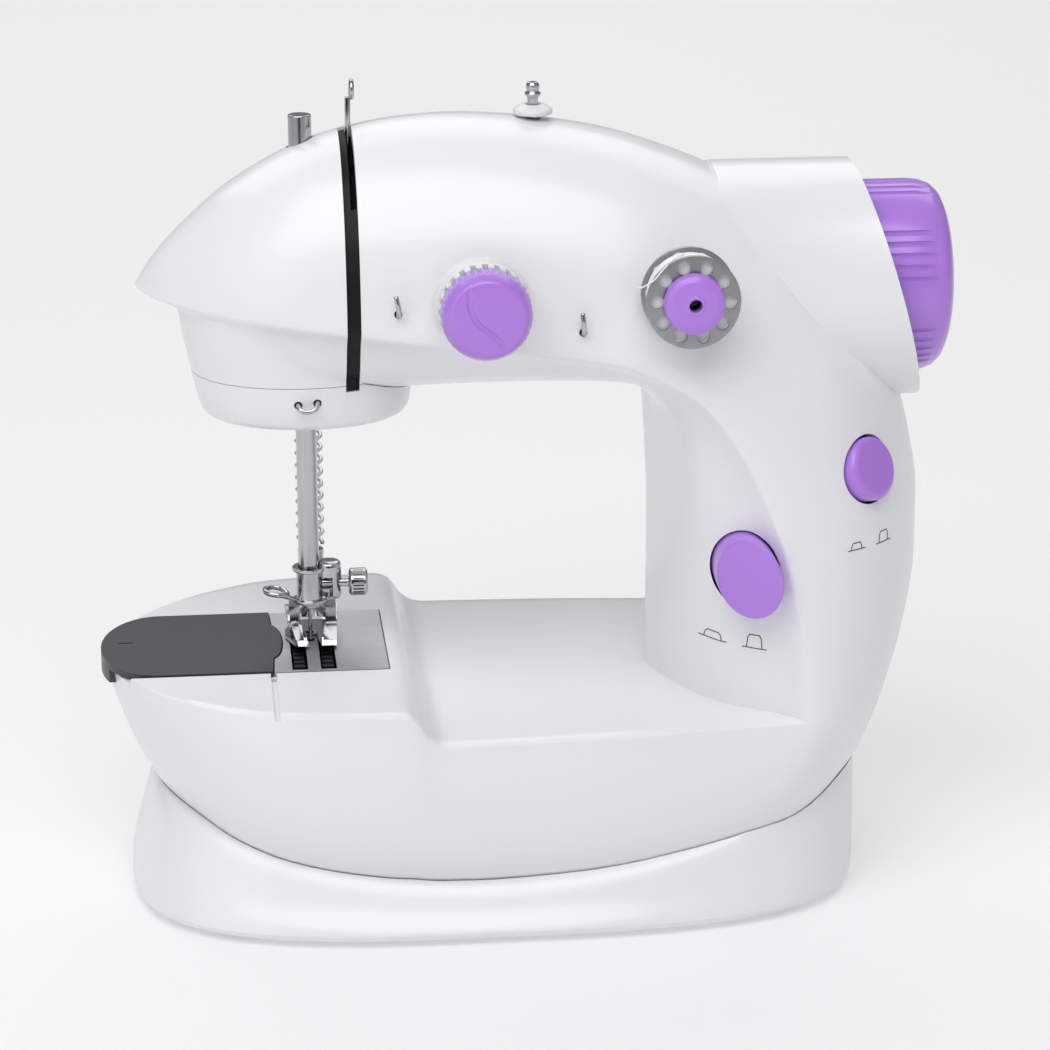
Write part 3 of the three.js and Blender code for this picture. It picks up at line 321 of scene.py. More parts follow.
def plastic(name, colour, rough=0.28, grain=0.35, coat=0.25, tint=0.03):
    """Moulded ABS: a faint spark-eroded grain, cloudy gloss and slight colour drift."""
    mat = bpy.data.materials.new(name)
    mat.use_nodes = True
    nodes, links = mat.node_tree.nodes, mat.node_tree.links
    shader = nodes["Principled BSDF"]
    place = nodes.new("ShaderNodeTexCoord")
    cloud = nodes.new("ShaderNodeTexNoise")
    cloud.inputs["Scale"].default_value = 34.0
    cloud.inputs["Detail"].default_value = 4.0
    links.new(place.outputs["Object"], cloud.inputs["Vector"])
    shade = nodes.new("ShaderNodeMix")
    shade.data_type = "RGBA"
    dark = [c * (1 - tint) for c in colour]
    shade.inputs["A"].default_value = (*dark, 1)
    shade.inputs["B"].default_value = (*colour, 1)
    links.new(cloud.outputs["Fac"], shade.inputs["Factor"])
    links.new(shade.outputs["Result"], shader.inputs["Base Color"])
    gloss = nodes.new("ShaderNodeMapRange")
    gloss.inputs["To Min"].default_value = rough * 0.85
    gloss.inputs["To Max"].default_value = rough * 1.2
    links.new(cloud.outputs["Fac"], gloss.inputs["Value"])
    links.new(gloss.outputs["Result"], shader.inputs["Roughness"])
    fine = nodes.new("ShaderNodeTexNoise")
    fine.inputs["Scale"].default_value = 2600.0
    fine.inputs["Detail"].default_value = 2.0
    links.new(place.outputs["Object"], fine.inputs["Vector"])
    bump = nodes.new("ShaderNodeBump")
    bump.inputs["Strength"].default_value = grain * 0.12
    bump.inputs["Distance"].default_value = 0.0001
    links.new(fine.outputs["Fac"], bump.inputs["Height"])
    links.new(bump.outputs["Normal"], shader.inputs["Normal"])
    shader.inputs["IOR"].default_value = 1.5
    shader.inputs["Coat Weight"].default_value = coat
    shader.inputs["Coat Roughness"].default_value = 0.12
    return mat


def squircle(cx, a, b, n, height, count):
    """A superellipse ring in millimetres; height is a number or a function of x."""
    ring = []
    for i in range(count):
        t = i / count * 2 * math.pi
        x = cx + a * math.copysign(abs(math.cos(t)) ** (2 / n), math.cos(t))
        y = b * math.copysign(abs(math.sin(t)) ** (2 / n), math.sin(t))
        ring.append(Vector((x, y, height(x) if callable(height) else height)))
    return ring


def flowing(rings, per_span):
    """A closed body skinned smoothly through the rings."""
    count = (len(rings) - 1) * per_span
    made = []
    for i in range(count + 1):
        t = i / per_span
        made.append([Vector(even_curve([r[j][k] for r in rings], t) for k in range(3)) * MM
                     for j in range(len(rings[0]))])
    return skin(made)


white_abs = plastic("white_abs", (0.86, 0.855, 0.885), rough=0.3)

outside = c_body("outside", 0, 0, 42, 4, 18, 12, white_abs)


def slanted_drum(radius, start):
    drum = solid("drum", bar("x", radius, 100 - start, ((100 + start) / 2, 0, SHAFT_Z), 128))
    tilt = math.radians(16.2)
    knife = block(0, 60, -60, 60, -80, 80)
    bmesh.ops.rotate(knife, verts=knife.verts, cent=(0, 0, 0), matrix=Matrix.Rotation(-tilt, 3, "Y"))
    bmesh.ops.translate(knife, verts=knife.verts, vec=Vector((82.4, 0, SHAFT_Z)) * MM)
    return cut(drum, knife)


cut(outside, slanted_drum(27.0, 43), "UNION")
cut(outside, flowing([squircle(-49.3, 24.7, 21, 2.1, 121.15, 144), squircle(-50.4, 25, 22, 2.1, 128, 144),
                      squircle(-51.4, 25.3, 23.2, 2.1, 136.2, 144)], 4), "UNION")
inside = c_body("inside", WALL, 3, 38, 2, 10, 7)
cut(inside, slanted_drum(24.6, 50), "UNION")
cut(inside, bar("x", 22.7, 40, (94.5, 0, SHAFT_Z), 96), "UNION")
cut(outside, inside)
cut(outside, bar("z", 3.1, 100, (*NB, 200), 32))
window = bmesh.new()
bmesh.ops.create_cone(window, cap_ends=True, segments=64, radius1=17.5 * MM, radius2=17.5 * MM, depth=22 * MM)
bmesh.ops.scale(window, verts=window.verts, vec=(1, 15 / 17.5, 1))
bmesh.ops.translate(window, verts=window.verts, vec=Vector((-47, 0, 119)) * MM)
cut(outside, window)
cut(outside, block(-64, 56, -33, 33, 0, 20))
slot_tool = solid("slot_tool", block(SLOT_X - 1.5, SLOT_X + 1.5, -60, 6, 124, 220))
cut(slot_tool, c_body("core", 9, 3, 20, 2, 8, 5))
cut(outside, slot_tool)
cut(outside, block(SLOT_X - 1.5, SLOT_X + 1.5, -32, -10, 121, 136))
cut(outside, block(-120, -31.2, -18.7, 21.1, TABLE_Z - 1.5, TABLE_Z + 5))
cut(outside, block(-84, -34.5, -15.6, 18, 40, TABLE_Z + 5))
cut(outside, block(-58.3, -57, -60, -18.6, TABLE_Z - 0.9, TABLE_Z + 5))
cut(outside, bar("z", 0.9, 6, (-57.65, -20.8, TABLE_Z), 24))
cut(outside, bar("y", 4.3, 40, (DIAL[0], -30, DIAL[1]), 48))
cut(outside, bar("y", 2.4, 40, (SPOOL[0], -30, SPOOL[1]), 32))
well = bar("y", 1.0, 60, (0, 0, 0), 72)
bmesh.ops.scale(well, verts=well.verts, vec=(7.0, 1, 9.5))
bmesh.ops.translate(well, verts=well.verts, vec=Vector((SPEED[0], -40, SPEED[1])) * MM)
cut(outside, well)
cut(outside, bar("y", 0.9, 30, (-29.3, -30, 140), 16))
cut(outside, bar("y", 0.9, 30, (10.3, -32, 135.8), 16))
cut(outside, bar("z", 1.9, 30, (3, 0, 172), 24))
cut(outside, block(-50.6, -45.4, 10, 60, 141, 158.5))
for y in (7, 20):
    cut(outside, bar("x", 4.2, 30, (72, y, 17), 40))

POWER_TURN = Matrix.Rotation(math.radians(40), 3, "Z") @ Matrix.Rotation(math.radians(-20), 3, "X")
POWER_PLACE = Vector((74.1, -31.3, 101.9)) * MM


def at_power(bm):
    """Stands a piece made along -Y square to the rounded side of the column."""
    bmesh.ops.rotate(bm, verts=bm.verts, cent=(0, 0, 0), matrix=POWER_TURN)
    bmesh.ops.translate(bm, verts=bm.verts, vec=POWER_PLACE)
    return bm


cut(outside, at_power(bar("y", 7.7, 16, (0, 0, 0), 64)))

for half, side in (("front_shell", -1), ("rear_shell", 1)):
    shell = copy_of(outside, half + "_moulding")
    cut(shell, block(-200, 200, -0.04 if side < 0 else -200, 200 if side < 0 else 0.04, -50, 300))
    smooth(shell)
    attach(shell, "machine")
    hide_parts(half)
bpy.data.objects.remove(outside)

# --- Base stand -----------------------------------------------------------------------------
# The oval stand under the bed, one hollow ABS moulding with a cradle for the boat-shaped
# bed. Its rim rises towards both ends; the battery drawer opens in its floor.
SEAM_LOW, SEAM_RISE, SEAM_X = 11.6, 0.00252, -10.0


def seam_height(x):
    return SEAM_LOW + SEAM_RISE * (x - SEAM_X) ** 2


base = solid("base_moulding", flowing([
    squircle(-7, 83.2, 51.0, 3.2, 1.5, 144),
    squircle(-7, 84, 52, 3.2, 3.1, 144),
    squircle(-5.4, 83, 49.2, 2.9, lambda x: 0.5 * (1.5 + seam_height(x)), 144),
    squircle(-3.4, 81.2, 46, 2.7, seam_height, 144),
    squircle(-3, 78.6, 43.4, 2.6, lambda x: seam_height(x) + 1.4, 144)], 4), white_abs)
cut(base, c_body("cradle", -0.25, 20, 42, 3, 16, 9))
cut(base, flowing([
    squircle(-7, 80.8, 46, 2.8, 6, 64),
    squircle(-5.4, 79.6, 45, 2.7, lambda x: 0.5 * (4 + seam_height(x)), 64),
    squircle(-3.4, 77.8, 43, 2.6, lambda x: seam_height(x) - 2, 64),
    squircle(-3, 75.4, 40.4, 2.6, lambda x: seam_height(x) - 0.6, 64)], 2))
for tool in (block(-60, 56, -34, 34, 6.2, 30), block(-62, 73, -19.6, 19.6, 0, 3.8),
             block(-55.6, 51.6, -17.4, 17.4, 0, 12)):
    cut(base, tool)
for x in (-66, 52):
    for y in (-34, 34):
        cut(base, bar("z", 5.3, 4, (x, y, 1.2), 40))
for y in (7, 20):
    cut(base, bar("x", 4.2, 24, (76, y, 17), 40))
smooth(base)
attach(base, "machine")
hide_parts("base_stand")

# --- Rubber feet ----------------------------------------------------------------------------
# Four round black rubber pads with a rounded foot edge, pressed into pockets under the
# stand.


def rounded(points, radius, closed=False, steps=4):
    """Rounds the corners of a (radius, height) outline; points on the axis stay sharp."""
    made = []
    count = len(points)
    for i, p in enumerate(points):
        if (not closed and i in (0, count - 1)) or p[0] < 1e-6:
            made.append(p)
            continue
        p, a, b = Vector(p), Vector(points[i - 1]), Vector(points[(i + 1) % count])
        u, v = (a - p), (b - p)
        r = min(radius, u.length * 0.45, v.length * 0.45)
        start, end = p + u.normalized() * r, p + v.normalized() * r
        for k in range(steps + 1):
            f = k / steps
            made.append(tuple(start * (1 - f) ** 2 + p * 2 * f * (1 - f) + end * f ** 2))
    return made


def lathe(axis, outline, centre, steps=72, closed=False):
    """Turns an outline of (radius, height) points, in millimetres, about an axis."""
    bm = bmesh.new()
    verts = [bm.verts.new((r * MM, 0, h * MM)) for r, h in outline]
    edges = [bm.edges.new(pair) for pair in zip(verts, verts[1:])]
    if closed:
        edges.append(bm.edges.new((verts[-1], verts[0])))
    bmesh.ops.spin(bm, geom=verts + edges, cent=(0, 0, 0), axis=(0, 0, 1), angle=2 * math.pi,
                   steps=steps, use_merge=True)
    bmesh.ops.remove_doubles(bm, verts=bm.verts, dist=0.000002)
    bmesh.ops.recalc_face_normals(bm, faces=bm.faces)
    bmesh.ops.rotate(bm, verts=bm.verts, cent=(0, 0, 0), matrix=AXES[axis])
    bmesh.ops.translate(bm, verts=bm.verts, vec=Vector(centre) * MM)
    return bm


black_abs = plastic("black_abs", (0.012, 0.012, 0.013), rough=0.5, grain=0.8, coat=0.05, tint=0.3)
black_abs.node_tree.nodes["Principled BSDF"].inputs["Specular IOR Level"].default_value = 0.15
black_rubber = plastic("black_rubber", (0.02, 0.02, 0.022), rough=0.75, grain=1.4, coat=0.0, tint=0.3)
for where, x, y in (("front_left", -66, -34), ("front_right", 52, -34),
                    ("rear_left", -66, 34), ("rear_right", 52, 34)):
    pad = solid("pad_" + where, lathe("z", rounded([(0, 0), (4.4, 0), (5, 0.9), (5, 2.9), (0, 2.9)], 0.4),
                                      (x, y, 0), 40), black_rubber)
    smooth(pad)
    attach(pad, "machine")
    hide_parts("rubber_foot_" + where)

# --- Head cover -----------------------------------------------------------------------------
# The rounded white ABS box under the pointed head. It closes the needle end and is pierced
# for the needle bar, the presser bar and the wire guide at its front.
cover = solid("head_cover_moulding", flowing([
    squircle(-48.2, 20.0, 16.2, 2.1, 110.5, 144),
    squircle(-48.2, 21.4, 17.6, 2.1, 110.7, 144),
    squircle(-48.5, 22.9, 19.1, 2.1, 111.7, 144),
    squircle(-48.7, 23.9, 20.2, 2.1, 114.8, 144),
    squircle(-49.3, 24.7, 21, 2.1, 121.0, 144)], 4), white_abs)
cut(cover, flowing([squircle(-48.4, 21.2, 17.4, 2.1, 112.8, 72),
                    squircle(-49.2, 22.8, 18.6, 2.1, 125, 72)], 2))
cut(cover, bar("y", 0.95, 12, (-50.8, -21, 117.2), 16))
cut(cover, bar("y", 0.95, 12, (-46.6, -21, 117.6), 16))
cut(cover, c_body("arm_clearance", -0.2, 3, 20, 3, 14, 10))
cut(cover, bar("z", 2.8, 40, (*NB, 112), 40))
cut(cover, bar("z", 2.3, 40, (*PB, 112), 40))
cut(cover, block(SLOT_X - 1.5, SLOT_X + 1.5, -30, -15, 119.6, 140))
smooth(cover)
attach(cover, "machine")
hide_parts("head_cover")

# --- Hand wheel -----------------------------------------------------------------------------
# A lilac ABS wheel on the end of the main shaft, inside the slanted housing. Six groups of
# five moulded grip grooves run along its rim and stop short of the rounded outer edge.
WHEEL_R, WHEEL_X = 21.8, 75.0
lilac_abs = plastic("lilac_abs", (0.46, 0.215, 0.79), rough=0.3, grain=0.5, coat=0.35, tint=0.1)
rim = [(0, 9.6), (2.4, 9.6), (2.4, 0), (6, 0), (6, 13), (19.4, 13), (19.4, 0), (WHEEL_R - 0.4, 0)]
crown = [(WHEEL_R, 0.5), (WHEEL_R, 13.4), (21.5, 15.8), (20.8, 17.8), (19.5, 19.3), (17.4, 20.3), (14, 20.7),
         (8, 20.8), (0, 20.8)]
wheel = solid("hand_wheel_moulding", lathe("x", rim + crown, (WHEEL_X, 0, SHAFT_Z), 180), lilac_abs)
grooves = bmesh.new()
for group in range(6):
    for k in range(5):
        turn = math.radians(25 + group * 60 + (k - 2) * 7)
        reach = WHEEL_R + 0.1
        place = Vector((WHEEL_X + 8.0, -math.cos(turn) * reach, SHAFT_Z + math.sin(turn) * reach))
        found = bmesh.ops.create_cone(grooves, cap_ends=True, segments=12, radius1=0.7 * MM,
                                      radius2=0.7 * MM, depth=21.0 * MM)["verts"]
        bmesh.ops.rotate(grooves, verts=found, cent=(0, 0, 0), matrix=AXES["x"])
        bmesh.ops.translate(grooves, verts=found, vec=place * MM)
cut(wheel, grooves)
smooth(wheel, 40)
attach(wheel, "wheel_body")
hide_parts("hand_wheel")

# --- Table plates ---------------------------------------------------------------------------
# A satin steel needle plate and a charcoal slide plate, both stamped and dropped into the
# recess of the sewing table; the slide plate turns down over the bow.
PLATE_Y = (-18.4, 20.8)
TIP_X = -83.4


def metal(name, colour, rough, drift=0.35, brush=(1.0, 1.0, 1.0), scale=900.0, dent=0.15):
    """Bare metal: fine working marks stretched along one axis, smudged gloss."""
    mat = bpy.data.materials.new(name)
    mat.use_nodes = True
    nodes, links = mat.node_tree.nodes, mat.node_tree.links
    shader = nodes["Principled BSDF"]
    shader.inputs["Metallic"].default_value = 1.0
    place = nodes.new("ShaderNodeTexCoord")
    stretch = nodes.new("ShaderNodeMapping")
    stretch.inputs["Scale"].default_value = brush
    links.new(place.outputs["Object"], stretch.inputs["Vector"])
    marks = nodes.new("ShaderNodeTexNoise")
    marks.inputs["Scale"].default_value = scale
    marks.inputs["Detail"].default_value = 5.0
    links.new(stretch.outputs["Vector"], marks.inputs["Vector"])
    smudge = nodes.new("ShaderNodeTexNoise")
    smudge.inputs["Scale"].default_value = 120.0
    smudge.inputs["Detail"].default_value = 3.0
    links.new(place.outputs["Object"], smudge.inputs["Vector"])
    gloss = nodes.new("ShaderNodeMapRange")
    gloss.inputs["To Min"].default_value = rough * (1 - drift)
    gloss.inputs["To Max"].default_value = rough * (1 + drift)
    links.new(smudge.outputs["Fac"], gloss.inputs["Value"])
    links.new(gloss.outputs["Result"], shader.inputs["Roughness"])
    shade = nodes.new("ShaderNodeMix")
    shade.data_type = "RGBA"
    shade.inputs["A"].default_value = (*[c * 0.8 for c in colour], 1)
    shade.inputs["B"].default_value = (*colour, 1)
    links.new(marks.outputs["Fac"], shade.inputs["Factor"])
    links.new(shade.outputs["Result"], shader.inputs["Base Color"])
    bump = nodes.new("ShaderNodeBump")
    bump.inputs["Strength"].default_value = dent
    bump.inputs["Distance"].default_value = 0.00005
    links.new(marks.outputs["Fac"], bump.inputs["Height"])
    links.new(bump.outputs["Normal"], shader.inputs["Normal"])
    return mat


def slab(points, low, high):
    """A flat outline in X-Y, in millimetres, raised from low to high."""
    bm = bmesh.new()
    face = bm.faces.new([bm.verts.new(Vector((x, y, low)) * MM) for x, y in points])
    raised = bmesh.ops.extrude_face_region(bm, geom=[face])["geom"]
    bmesh.ops.translate(bm, verts=[v for v in raised if isinstance(v, bmesh.types.BMVert)],
                        vec=(0, 0, (high - low) * MM))
    bmesh.ops.recalc_face_normals(bm, faces=bm.faces)
    return bm


def soften_rim(obj, width, angle=50, segments=3):
    """Bevels the crisp edges of a finished mesh."""
    bm = bmesh.new()
    bm.from_mesh(obj.data)
    crisp = [e for e in bm.edges if len(e.link_faces) == 2 and e.calc_face_angle(0) > math.radians(angle)]
    bmesh.ops.bevel(bm, geom=crisp, offset=width * MM, offset_type="OFFSET", affect="EDGES",
                    segments=segments, profile=0.5, material=-1, clamp_overlap=True)
    bm.to_mesh(obj.data)
    bm.free()


satin_steel = metal("satin_steel", (0.74, 0.74, 0.76), 0.36, brush=(0.05, 1.0, 1.0))
bright_steel = metal("bright_steel", (0.55, 0.55, 0.57), 0.15, brush=(1.0, 1.0, 0.06), scale=1500.0,
                     dent=0.08)
plate_steel = metal("plate_steel", (0.60, 0.60, 0.62), 0.44, brush=(0.05, 1.0, 1.0), dent=0.1)
nickel = metal("dull_nickel", (0.40, 0.40, 0.42), 0.38, drift=0.3, scale=800.0, dent=0.1)
charcoal = plastic("charcoal_enamel", (0.045, 0.044, 0.05), rough=0.42, grain=0.9, coat=0.1, tint=0.35)


def bump_edge(gap):
    edge = []
    for i in range(25):
        y = 12.3 - 22 * i / 24
        edge.append((-57.7 + gap + 2.6 * math.sqrt(max(0, 1 - ((y - 1.3) / 11.1) ** 2)), y))
    return edge


outline = [(-31.6, PLATE_Y[0]), (-31.6, PLATE_Y[1]), (-57.4, PLATE_Y[1])]
outline += bump_edge(0.3) + [(-57.4, PLATE_Y[0])]
plate = solid("needle_plate_stamping", slab(outline, TABLE_Z - 1.2, TABLE_Z + 0.1), plate_steel)
cut(plate, bar("z", 1.1, 20, (*NB, TABLE_Z), 32))
for x in (-51.5, -45):
    cut(plate, block(x - 1.8, x + 1.8, -17.2, 8.2, 40, 60))
smooth(plate)
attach(plate, "machine")
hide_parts("needle_plate")

angles = [math.radians(90 + 180 * i / 40) for i in range(41)]
tip = [(TIP_X + 13.2 * math.cos(a), 1.2 + 19.5 * math.sin(a)) for a in angles]
outline = tip + [(-57.7, PLATE_Y[0] + 0.1)] + bump_edge(0)[::-1] + [(-57.7, PLATE_Y[1] - 0.1)]
slide = solid("slide_plate_moulding", slab(outline, TABLE_Z - 1.2, TABLE_Z + 0.4), charcoal)
lip = [p for p in tip if -10 < p[1] < 15] + [(-88, -9.4), (-88, 14.6)]
lip = solid("lip", slab(lip, TABLE_Z - 4.4, TABLE_Z - 0.6))
cut(lip, c_body("bow_clearance", -0.3, 36, 42, 4, 16, 9))
cut(slide, lip, "UNION")
cut(slide, block(-92.6, -89.2, 3, 3.6, TABLE_Z + 0.15, TABLE_Z + 6))
smooth(slide)
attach(slide, "slide_plate_body")
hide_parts("slide_plate")

# --- Needle bar and needle ------------------------------------------------------------------
# A polished steel bar that slides through the head, with a flat domed top, and a needle with
# its hub clamped in its lower end.
bar_outline = [(0, 64), (2.35, 64), (2.35, 129.6), (2.6, 130.2), (2.6, 177.3), (0, 177.3)]
needle_bar = solid("needle_bar_rod", lathe("z", rounded(bar_outline, 0.35), (*NB, 0), 56), bright_steel)
smooth(needle_bar)
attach(needle_bar, "needle_bar_body")
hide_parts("needle_bar")
needle_outline = [(0, 40.6), (0.16, 41.4), (0.36, 43.4), (0.42, 46), (0.42, 61.7), (1.0, 62.1), (1.6, 62.3),
                  (1.6, 63.7), (0.8, 63.8), (0.8, 74.4), (0, 74.4)]
needle = solid("needle_shaft", lathe("z", needle_outline, (*NB, 0), 28), bright_steel)
smooth(needle, 30)
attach(needle, "needle_bar_body")
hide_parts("needle")

# --- Needle clamp and thumb screw -----------------------------------------------------------
# A zinc clamp round the bar's end: a sleeve between two thin discs, a round boss that holds
# the screw and a wire loop for the thread. The knurled thumb screw enters from the right.
cast_zinc = metal("cast_zinc", (0.40, 0.40, 0.42), 0.3, drift=0.5, scale=700.0, dent=0.3)


def tube(name, points, radius, finish, cyclic=False, sides=5):
    """A round wire along a smooth path through points in millimetres."""
    curve = bpy.data.curves.new(name, "CURVE")
    curve.dimensions = "3D"
    curve.bevel_depth = radius * MM
    curve.bevel_resolution = sides
    curve.use_fill_caps = True
    line = curve.splines.new("BEZIER")
    line.bezier_points.add(len(points) - 1)
    for knot, p in zip(line.bezier_points, points):
        knot.co = Vector(p) * MM
        knot.handle_left_type = knot.handle_right_type = "AUTO"
    line.use_cyclic_u = cyclic
    line.resolution_u = 8
    holder = bpy.data.objects.new(name + "_path", curve)
    bpy.context.collection.objects.link(holder)
    bpy.context.view_layer.update()
    mesh = bpy.data.meshes.new_from_object(holder.evaluated_get(bpy.context.evaluated_depsgraph_get()))
    bpy.data.objects.remove(holder)
    bpy.data.curves.remove(curve)
    bm = bmesh.new()
    bm.from_mesh(mesh)
    bmesh.ops.remove_doubles(bm, verts=bm.verts, dist=0.000002)
    bmesh.ops.recalc_face_normals(bm, faces=bm.faces)
    bpy.data.meshes.remove(mesh)
    made = solid(name, bm, finish)
    made.data.shade_smooth()
    return made


sleeve = [(0, 63.7), (3.9, 63.7), (3.9, 64.5), (2.95, 64.6), (2.95, 71.2), (3.9, 71.3), (3.9, 72.1), (0, 72.1)]
clamp = solid("clamp_casting", lathe("z", rounded(sleeve, 0.25), (*NB, 0), 64), bright_steel)
boss = [(0, 64.2), (2.8, 64.2), (2.8, 73.3), (0, 73.3)]
cut(clamp, lathe("z", rounded(boss, 1.6), (-43.8, NB[1] + 0.4, 0), 56), "UNION")
cut(clamp, block(NB[0], -43.8, NB[1] - 0.8, NB[1] + 2.2, 64.4, 71.0), "UNION")
cut(clamp, bar("z", 1.5, 4.6, (-44.6, NB[1] - 2.2, 67.6), 24))
cut(clamp, bar("z", 2.6, 30, (*NB, 67.6), 48))
cut(clamp, bar("x", 1.5, 10, (-40.8, NB[1], 68), 32))
smooth(clamp)
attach(clamp, "needle_bar_body")
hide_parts("needle_clamp")
bend = [(-51.0, -1.4, 64.4), (-52.6, -2.6, 65.2), (-54.4, -3.8, 66.4), (-56.8, -4.0, 66.9), (-58.6, -2.2, 67.1),
        (-58.0, 0.2, 67.1), (-55.8, 0.9, 66.9), (-54.2, -0.6, 66.6), (-53.6, -2.2, 66.4)]
loop = tube("clamp_thread_loop", [(x, NB[1] + y, z) for x, y, z in bend], 0.62, bright_steel)
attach(loop, "needle_bar_body")
stem = [(0, -45.6), (1.1, -45.6), (1.1, -39.4), (2.6, -39.4), (3.2, -38.9), (3.2, -35.5), (2.6, -35), (0, -35)]
screw = solid("thumb_screw", lathe("x", rounded(stem, 0.2), (0, NB[1], 68), 96), bright_steel)
knurl = bmesh.new()
for i in range(24):
    turn = i / 24 * 2 * math.pi
    found = bmesh.ops.create_cone(knurl, cap_ends=True, segments=4, radius1=0.3 * MM, radius2=0.3 * MM,
                                  depth=2.4 * MM)["verts"]
    bmesh.ops.rotate(knurl, verts=found, cent=(0, 0, 0), matrix=AXES["x"])
    bmesh.ops.translate(knurl, verts=found,
                        vec=Vector((-37.2, NB[1] + 3.24 * math.cos(turn), 68 + 3.24 * math.sin(turn))) * MM)
cut(screw, knurl)
smooth(screw, 25)
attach(screw, "clamp_screw_body")
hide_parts("clamp_screw")

# --- Presser bar, spring and lifter ---------------------------------------------------------
# A steel bar behind the needle bar with its coil spring, and the white ABS lifting lever at
# the back of the head.
rod = [(0, 63.6), (1.9, 63.6), (1.9, 147.6), (0, 147.6)]
presser = solid("presser_bar_rod", lathe("z", rounded(rod, 0.3), (*PB, 0), 48), bright_steel)
cut(presser, block(PB[0] - 2.4, PB[0] + 1.2, 12.2, 16.2, 134, 139), "UNION")
smooth(presser)
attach(presser, "presser_body")
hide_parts("presser_bar")
turns = [(PB[0] + 2.8 * math.cos(t / 12 * 2 * math.pi), PB[1] + 2.8 * math.sin(t / 12 * 2 * math.pi),
          74.6 + 35 * t / 144) for t in range(145)]
spring = tube("presser_coil", turns, 0.5, satin_steel, sides=3)
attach(spring, "machine")
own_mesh(spring)
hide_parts("presser_spring")


def profile_x(points, low, high):
    """A flat outline in Y-Z, in millimetres, raised along X from low to high."""
    bm = slab(points, low, high)
    turn = Matrix(((0, 0, 1), (1, 0, 0), (0, 1, 0)))
    bmesh.ops.rotate(bm, verts=bm.verts, cent=(0, 0, 0), matrix=turn)
    return bm


lever = [(17, 143.6), (30, 143.9), (44, 143.6), (46, 144.4), (46, 145.8), (44.6, 147), (30, 146.4), (17, 147)]
lever = solid("lifter_lever", profile_x(lever, -49.9, -46.1), white_abs)
soften_rim(lever, 0.6, 40)
smooth(lever)
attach(lever, "lifter_body")
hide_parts("presser_lifter")

# --- Presser foot ---------------------------------------------------------------------------
# A steel shank clamped to the presser bar and a hinged sole bent from sheet, with turned-up
# toes, two slanted wings and a pin between its ears.
ring = rounded([(2.2, 63.9), (3, 63.9), (3, 73.3), (2.2, 73.3)], 0.25, True)
shank = solid("foot_shank_casting", lathe("z", ring, (*PB, 0), 48, True), bright_steel)
cut(shank, block(PB[0] - 2.6, PB[0] + 2.6, 6.2, 8.8, 58.2, 68), "UNION")
cut(shank, block(PB[0] - 3, PB[0] + 3, 8.2, 14.2, 62, 63.4), "UNION")
cut(shank, bar("z", 2.2, 12, (*PB, 69.4), 40))
cut(shank, bar("x", 0.9, 20, (PB[0], 7.5, 59.4), 24))
soften_rim(shank, 0.2, 60, 2)
smooth(shank)
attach(shank, "presser_body")
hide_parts("foot_shank")
plan = [(-54.2, 3), (-52.0, -3.9), (-48.9, -3.9), (-49.6, 4.6), (-47, 4.6), (-46.2, -3.9), (-42.6, -3.9),
        (-42.2, 3), (-42.6, 6), (-45, 12.5), (-51.8, 12.5), (-54.2, 6)]
sole = solid("foot_sole_stamping", slab(plan, 54.5, 55.3), bright_steel)
for side in (-1, 1):
    near, far = sorted((PB[0] + side * 3, PB[0] + side * 5.4))
    cut(sole, block(near, far, 5.9, 10, 55.4, 61), "UNION")
for top, foot, width in ((-54.0, -51.5, 2.4), (-45.2, -46.0, 3.4)):
    ramp = profile_x([(-4.4, 54.9), (-3.4, 55.9), (-2.2, 55.6), (2.2, 57.3), (6.2, 57.4), (8.4, 60.8),
                      (9.4, 60.4), (8.6, 59.2), (6.6, 56.5), (2.4, 56.3), (-1.8, 54.6)], 0, width)
    for v in ramp.verts:
        v.co.x += (foot + (top - foot) * (v.co.y / MM + 4) / 13.0) * MM
    cut(sole, ramp, "UNION")
    fold = profile_x([(-2.4, 55.4), (-2.0, 56.1), (2.2, 57.6), (6.1, 57.6), (6.4, 57.2), (2.4, 56.6)], 0, 0.6)
    for v in fold.verts:
        v.co.x += (foot + (width - 0.6 if top < -50 else 0) + (top - foot) * (v.co.y / MM + 4) / 13.0) * MM
    cut(sole, fold, "UNION")
cut(sole, bar("x", 0.7, 9.6, (PB[0], 7.5, 59.4), 20), "UNION")
soften_rim(sole, 0.14, 60, 2)
smooth(sole)
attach(sole, "foot_body")
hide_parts("foot_sole")

# --- Take-up lever and slot -----------------------------------------------------------------
# A chrome plated arm stamped from sheet, with a wire eye, that swings in a slot lined with
# black ABS along the front of the arm.
LEVER_X = -37.9
arm = [(14.5, 138), (17.5, 141), (8, 156.4), (2.6, 168), (0.7, 181.3), (-0.7, 181.3), (0.2, 167.4),
       (4.6, 154.6), (12.4, 140)]
arm = solid("take_up_arm", profile_x(arm, LEVER_X - 0.6, LEVER_X + 0.6), bright_steel)
soften_rim(arm, 0.2, 60, 2)
smooth(arm)
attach(arm, "take_up_body")
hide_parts("take_up_lever")
angles = [i * math.pi / 4 for i in range(8)]
eye = [(LEVER_X + 0.9, 1.7 * math.sin(a), 183.0 - 1.8 * math.cos(a)) for a in angles]
eye = tube("take_up_eye", eye, 0.55, bright_steel, cyclic=True)
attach(eye, "take_up_body")

